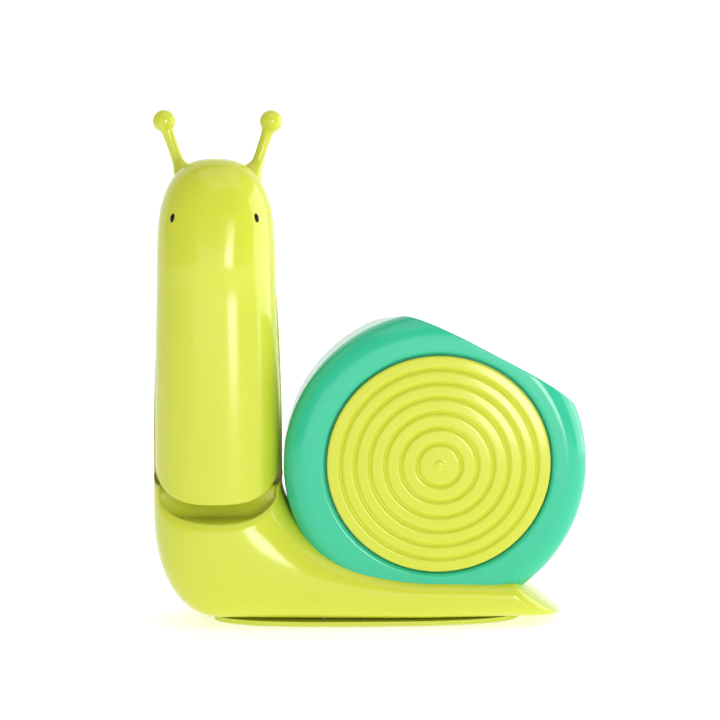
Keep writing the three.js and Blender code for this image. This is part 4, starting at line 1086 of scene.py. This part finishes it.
@dataclass
class TapeShell:
    """The teal drum with its slanted opening, its back and the ringed side cap.

    All sizes are in millimetres.
    """

    centre: tuple[float, float] = (17.8, 43.0)
    cap_centre: tuple[float, float] = field(
        default_factory=lambda: (middle("side_cap").x, middle("side_cap").z),
    )
    radius: float = 40.4
    half_depth: float = 14.2
    corner: float = 6.5
    seam: float = 9.5
    wall: float = 2.2
    edge: float = 0.55
    slope: float = math.radians(27.75)
    lean: float = 0.293
    opening: float = 29.0
    hole: float = 29.95
    oval: float = 0.97
    lip: float = 1.3
    cap_radius: float = 29.5
    cap_edge: float = 14.5
    cap_rise: float = 1.7
    cap_thickness: float = 1.8
    grooves: int = 6
    groove_depth: float = 0.75
    groove_half: float = 0.52
    post_angles: tuple[float, ...] = (120.0, 200.0, 330.0)
    post_reach: float = 36.2

    def height_over(self, points: np.ndarray) -> np.ndarray:
        """Gives how far points lie towards the opening's plane."""
        x, y, z = points[..., 0] - self.centre[0], points[..., 1], points[..., 2] - self.centre[1]
        return math.sin(self.slope) * x + self.lean * y + math.cos(self.slope) * z

    def trimmed(self, lines: np.ndarray, rows: int) -> np.ndarray:
        """Cuts lines off at the opening and spreads their points evenly.

        Args:
            lines: Dense lines, as points along by lines by three.
            rows: Points that each line gets.

        Returns:
            The cut lines, as rows by lines by three.
        """
        limit = self.opening - self.edge * math.hypot(1, self.lean)
        grid = np.empty((rows, lines.shape[1], 3))
        for k in range(lines.shape[1]):
            line = lines[:, k]
            lengths = np.concatenate([[0], np.cumsum(np.linalg.norm(np.diff(line, axis=0), axis=1))])
            over = self.height_over(line)
            beyond = np.argmax(over > limit) if np.any(over > limit) else 0
            end = lengths[-1]
            if beyond:
                share = (limit - over[beyond - 1]) / (over[beyond] - over[beyond - 1])
                end = lengths[beyond - 1] + share * (lengths[beyond] - lengths[beyond - 1])
            at = np.linspace(0, end, rows)
            for axis in range(3):
                grid[:, k, axis] = np.interp(at, lengths, line[:, axis])
        return grid

    def drum(self) -> bpy.types.Object:
        """Builds the drum, with a rounded lip round the side opening and a ledge behind the cap."""
        sides = 720
        turn = np.arange(sides) * 2 * math.pi / sides
        quarter = np.linspace(0, math.pi / 2, 24)
        around_hole = [(self.hole, y) for y in np.linspace(-12.4, -self.half_depth + self.lip, 6)]
        around_hole += [
            (self.hole + self.lip * (1 - math.cos(t)), -self.half_depth + self.lip * (1 - math.sin(t)))
            for t in quarter[1:]
        ]
        flat = self.radius - self.corner
        around_drum = [
            (flat + self.corner * math.sin(t), -self.half_depth + self.corner * (1 - math.cos(t)))
            for t in np.linspace(0, math.pi / 2, 60)
        ]
        around_drum += [
            (self.radius, y) for y in np.linspace(-self.half_depth + self.corner, self.seam - self.edge, 80)
        ]
        inner = turned(around_hole, self.cap_centre, sides, self.oval)
        outer = turned(around_drum, self.centre, sides)
        between = np.linspace(0, 1, 20)[1:-1, None, None]
        lines = np.concatenate([inner, inner[-1:] + (outer[:1] - inner[-1:]) * between, outer])
        parts = MeshParts()
        parts.add_wall(self.trimmed(lines, 110), self.wall, self.edge, periodic=True)
        ledge = fillet(
            [(28.9, -12.35), (31.0, -12.35), (31.0, -11.1), (28.9, -11.1), (28.9, -12.35)], 0.15, 2,
        )
        parts.add_grid(turned(ledge, self.cap_centre, 192, self.oval), periodic=True)
        return parts.build("shell_drum_moulding")

    def back(self) -> bpy.types.Object:
        """Builds the shell's back, without the sunk holes for its screws, which sink_screws cuts."""
        sides = 480
        flat = self.radius - self.corner
        profile = [(r, self.half_depth) for r in np.linspace(2.2, flat, 90)]
        last = math.asin((self.seam + 0.2 + self.edge - self.half_depth + self.corner) / self.corner)
        for t in np.linspace(math.pi / 2, last, 40)[1:]:
            profile.append((
                flat + self.corner * math.cos(t), self.half_depth - self.corner * (1 - math.sin(t)),
            ))
        lines = turned(profile, self.centre, sides)
        parts = MeshParts()
        parts.add_wall(self.trimmed(lines, 110)[:, ::-1], self.wall, self.edge, periodic=True)
        return parts.build("shell_back_moulding")

    def sink_screws(self, piece: bpy.types.Object) -> None:
        """Cuts the sunk holes of the back's screws.

        Args:
            piece: The shell's back.
        """
        parts = MeshParts()
        for angle in self.post_angles:
            turn = math.radians(angle)
            place = (
                self.centre[0] + self.post_reach * math.cos(turn),
                self.centre[1] + self.post_reach * math.sin(turn),
            )
            bore = [(0.01, 8.0), (2.5, 8.0), (2.5, 20.0), (0.01, 20.0)]
            parts.add_grid(turned(bore, place, 48), periodic=True)
        cutter = parts.build("screw_bores")
        cutting = piece.modifiers.new("screw_bores", "BOOLEAN")
        cutting.operation = "DIFFERENCE"
        cutting.solver = "EXACT"
        cutting.object = cutter
        bpy.context.view_layer.update()
        cut = bpy.data.meshes.new_from_object(piece.evaluated_get(bpy.context.evaluated_depsgraph_get()))
        piece.modifiers.clear()
        piece.data = cut
        bpy.data.objects.remove(cutter)

    def cap(self) -> bpy.types.Object:
        """Builds the shallow domed cap with its ring grooves and middle boss."""
        radii = np.linspace(0.02, self.cap_radius - 0.5, 330)
        front = -(self.cap_edge + self.cap_rise * (1 - (radii / self.cap_radius) ** 2))
        front -= 0.42 * np.exp(-(radii / 1.25) ** 4)
        for number in range(1, self.grooves + 1):
            groove = 1.35 + 4.52 * number - 0.07 * number ** 2
            front += self.groove_depth * np.exp(-np.abs((radii - groove) / self.groove_half) ** 2.0)
        outline = list(zip(radii.tolist(), front.tolist()))
        rim = -self.cap_edge
        outline += [
            (self.cap_radius - 0.5 + 0.5 * math.sin(t), rim + 0.5 - 0.5 * math.cos(t))
            for t in np.linspace(0.1, math.pi / 2, 10)
        ]
        back = -self.cap_edge + self.cap_thickness
        skirt = fillet([
            (self.cap_radius, back - 0.4), (self.cap_radius, back), (28.6, back), (28.6, back + 2.4),
            (27.4, back + 2.4), (27.4, back), (0.02, back - 0.3),
        ], 0.3, 4)
        parts = MeshParts()
        parts.add_grid(turned(outline + skirt[1:], self.cap_centre, 288, self.oval), periodic=True)
        return parts.build("side_cap_moulding")

    def build(self) -> None:
        """Builds and dresses the shell and its cap."""
        drum, back, cap = self.drum(), self.back(), self.cap()
        self.sink_screws(back)
        stand_for(drum, "root", "teal_shell", "shell_drum")
        stand_for(back, "root", "teal_shell", "shell_back")
        stand_for(cap, "cap", "lime_shell", "side_cap")
        dress(drum, TEAL_ABS)
        dress(back, TEAL_ABS)
        dress(cap, LIME_ABS)
        for number in range(1, 4):
            dress_node(f"back_screw_{number}", ZINC_STEEL)
        dress_node("spindle_screw", ZINC_STEEL)


# ------------------------------------------------------------------ tape and cutter


@dataclass
class Reel:
    """The roll of tape on its hub, with the cutter.

    All sizes are in millimetres.
    """

    shell: TapeShell
    half_tape: float = 9.5
    tape_radius: float = 27.0
    core_bore: float = 12.7
    core_wall: float = 1.5

    def ring(self, name: str, inner: float, outer: float, half: float, corner: float) -> bpy.types.Object:
        """Builds a plain ring with rounded corners.

        Args:
            name: The piece's name.
            inner: Bore radius.
            outer: Outer radius.
            half: Half width.
            corner: Corner radius.

        Returns:
            The ring.
        """
        outline = fillet(
            [(inner, -half), (outer, -half), (outer, half), (inner, half), (inner, -half)], corner, 4,
        )
        parts = MeshParts()
        parts.add_grid(turned(outline, self.shell.cap_centre, 240), periodic=True)
        return parts.build(name)

    def build(self) -> None:
        """Builds and dresses the roll and its core, and dresses the hub, spindle, cutter and tape lead."""
        centre = (self.shell.cap_centre[0] * MM, self.shell.cap_centre[1] * MM)
        # Wound film: layers show as fine rings on the side of the roll, drawn coarser than they are.
        wound = WoundFinish(
            "wound_adhesive_film", "e2d9a6", "d9cf98", (0.2, 0.3), drift_mm=14, relief_mm=0.02, ior=1.49,
            centre=centre, subsurface=0.2,
        )
        # Spiral-wound grey card: fibres and plies give a dull, slightly banded edge.
        card = WoundFinish(
            "spiral_wound_card", "c2a578", "b39668", (0.8, 0.92), drift_mm=5, relief_mm=0.04, ior=1.5,
            centre=centre, ring_mm=0.4, ring_shade="a18457",
        )
        core_outer = self.core_bore + self.core_wall
        roll = self.ring("tape_roll_film", core_outer + 0.1, self.tape_radius, self.half_tape, 0.15)
        stand_for(roll, "reel", "clear_tape", "tape_roll")
        dress(roll, wound)
        core = self.ring("tape_core_card", self.core_bore, core_outer, self.half_tape, 0.2)
        stand_for(core, "reel", "card", "tape_core")
        dress(core, card)
        for node in ("reel_hub", "reel_spindle", "cutter_bar"):
            dress_node(node, WHITE_ACETAL)
        dress_node("tape_lead", CLEAR_FILM)
        dress_node("cutter_blade", GROUND_STEEL)


@dataclass
class Stapler:
    """The steel pieces of the stapler in the neck."""

    plates: tuple[str, ...] = (
        "stapler_frame", "anvil_plate", "magazine_channel", "staple_rail", "staple_pusher",
    )
    turned_pieces: tuple[str, ...] = ("hinge_pin", "pusher_rod", "frame_screw_1", "frame_screw_2")
    springs: tuple[str, ...] = ("jaw_spring", "pusher_spring")

    def build(self) -> None:
        """Dresses the stapler's pieces."""
        for node in self.plates:
            dress_node(node, ROLLED_STEEL)
        for node in self.turned_pieces:
            dress_node(node, ZINC_STEEL)
        for node in self.springs:
            dress_node(node, SPRING_WIRE)
        dress_node("staple_strip", ZINC_STEEL)


# ------------------------------------------------------------------ studio


@dataclass
class SoftBox:
    """A rectangular studio light.

    Attributes:
        name: The light's name.
        place: Where it stands, in metres.
        aim: What it points at, in metres.
        size: Width and height in metres.
        power: Power in watts.
    """

    name: str
    place: tuple[float, float, float]
    aim: tuple[float, float, float]
    size: tuple[float, float]
    power: float

    def build(self) -> None:
        """Adds the light."""
        lamp = bpy.data.lights.new(self.name, "AREA")
        lamp.shape = "RECTANGLE"
        lamp.size, lamp.size_y = self.size
        lamp.energy = self.power
        holder = bpy.data.objects.new(self.name, lamp)
        holder.location = self.place
        aim = Vector(self.aim) - Vector(self.place)
        holder.rotation_euler = aim.to_track_quat("-Z", "Y").to_euler()
        bpy.context.scene.collection.objects.link(holder)


@dataclass
class Studio:
    """Pale sweep, soft lights and camera."""

    lens_mm: float = 92.9
    camera_place: tuple[float, float, float] = (-0.0200, -0.4978, 0.1137)
    aim: tuple[float, float, float] = (-0.0020, 0.0, 0.0701)
    sweep_half: float = 2.5
    sweep_behind: float = 1.2
    sweep_front: float = -2.0
    sweep_radius: float = 0.5
    sweep_top: float = 2.5
    paper_glow: float = 0.5
    sky_strength: float = 0.34
    heart: tuple[float, float, float] = (0.0, 0.0, 0.07)

    def sweep(self) -> None:
        """Builds the floor, which curves up behind the object."""
        path = [(self.sweep_front, 0.0), (self.sweep_behind - self.sweep_radius, 0.0)]
        for turn in np.linspace(0, math.pi / 2, 24)[1:]:
            path.append((
                self.sweep_behind - self.sweep_radius + self.sweep_radius * math.sin(turn),
                self.sweep_radius * (1 - math.cos(turn)),
            ))
        path.append((self.sweep_behind, self.sweep_top))
        rows = [[(x, y, z) for x in np.linspace(-self.sweep_half, self.sweep_half, 9)] for y, z in path]
        parts = MeshParts()
        parts.add_grid(np.array(rows) / MM)
        floor = parts.build("studio_sweep")
        paper = bpy.data.materials.new("white_background_paper")
        paper.use_nodes = True
        shader = paper.node_tree.nodes["Principled BSDF"]
        shader.inputs["Base Color"].default_value = (0.86, 0.86, 0.86, 1)
        shader.inputs["Roughness"].default_value = 0.9
        shader.inputs["Specular IOR Level"].default_value = 0.1
        shader.inputs["Emission Color"].default_value = (1, 1, 1, 1)
        shader.inputs["Emission Strength"].default_value = self.paper_glow
        floor.data.materials.append(paper)

    def lights(self) -> None:
        """Adds the sky and the soft boxes."""
        world = bpy.data.worlds.new("studio_sky")
        world.use_nodes = True
        sky = world.node_tree.nodes["Background"]
        sky.inputs["Color"].default_value = (1, 1, 1, 1)
        sky.inputs["Strength"].default_value = self.sky_strength
        bpy.context.scene.world = world
        SoftBox("key_box", (0.27, -0.74, 0.13), (-0.02, 0.0, 0.08), (0.2, 0.26), 1.5).build()
        SoftBox("side_box", (0.82, 0.16, 0.24), self.heart, (0.8, 0.7), 4.2).build()
        SoftBox("top_box", (0.1, -0.2, 0.95), self.heart, (1.0, 0.9), 2.4).build()
        SoftBox("fill_box", (-0.1, -0.85, 0.02), (-0.04, 0.0, 0.04), (0.9, 0.5), 1.5).build()

    def camera(self) -> None:
        """Adds the camera."""
        data = bpy.data.cameras.new("camera")
        data.lens = self.lens_mm
        data.clip_start, data.clip_end = 0.01, 20
        holder = bpy.data.objects.new("camera", data)
        holder.location = self.camera_place
        aim = Vector(self.aim) - Vector(self.camera_place)
        holder.rotation_euler = aim.to_track_quat("-Z", "Y").to_euler()
        bpy.context.scene.collection.objects.link(holder)
        bpy.context.scene.camera = holder

    def build(self) -> None:
        """Builds the whole studio."""
        self.camera()
        self.sweep()
        self.lights()
        bpy.context.scene.view_settings.view_transform = "Standard"


def main() -> None:
    """Builds the studio and every sub-assembly in order."""
    logging.basicConfig(level=logging.INFO)
    Studio().build()
    body = Body()
    shell = TapeShell()
    for part in (body, HeadCover(body), shell, Reel(shell), Stapler()):
        part.build()
        LOG.info("finished %s", type(part).__name__)


if __name__ == "__main__":
    main()
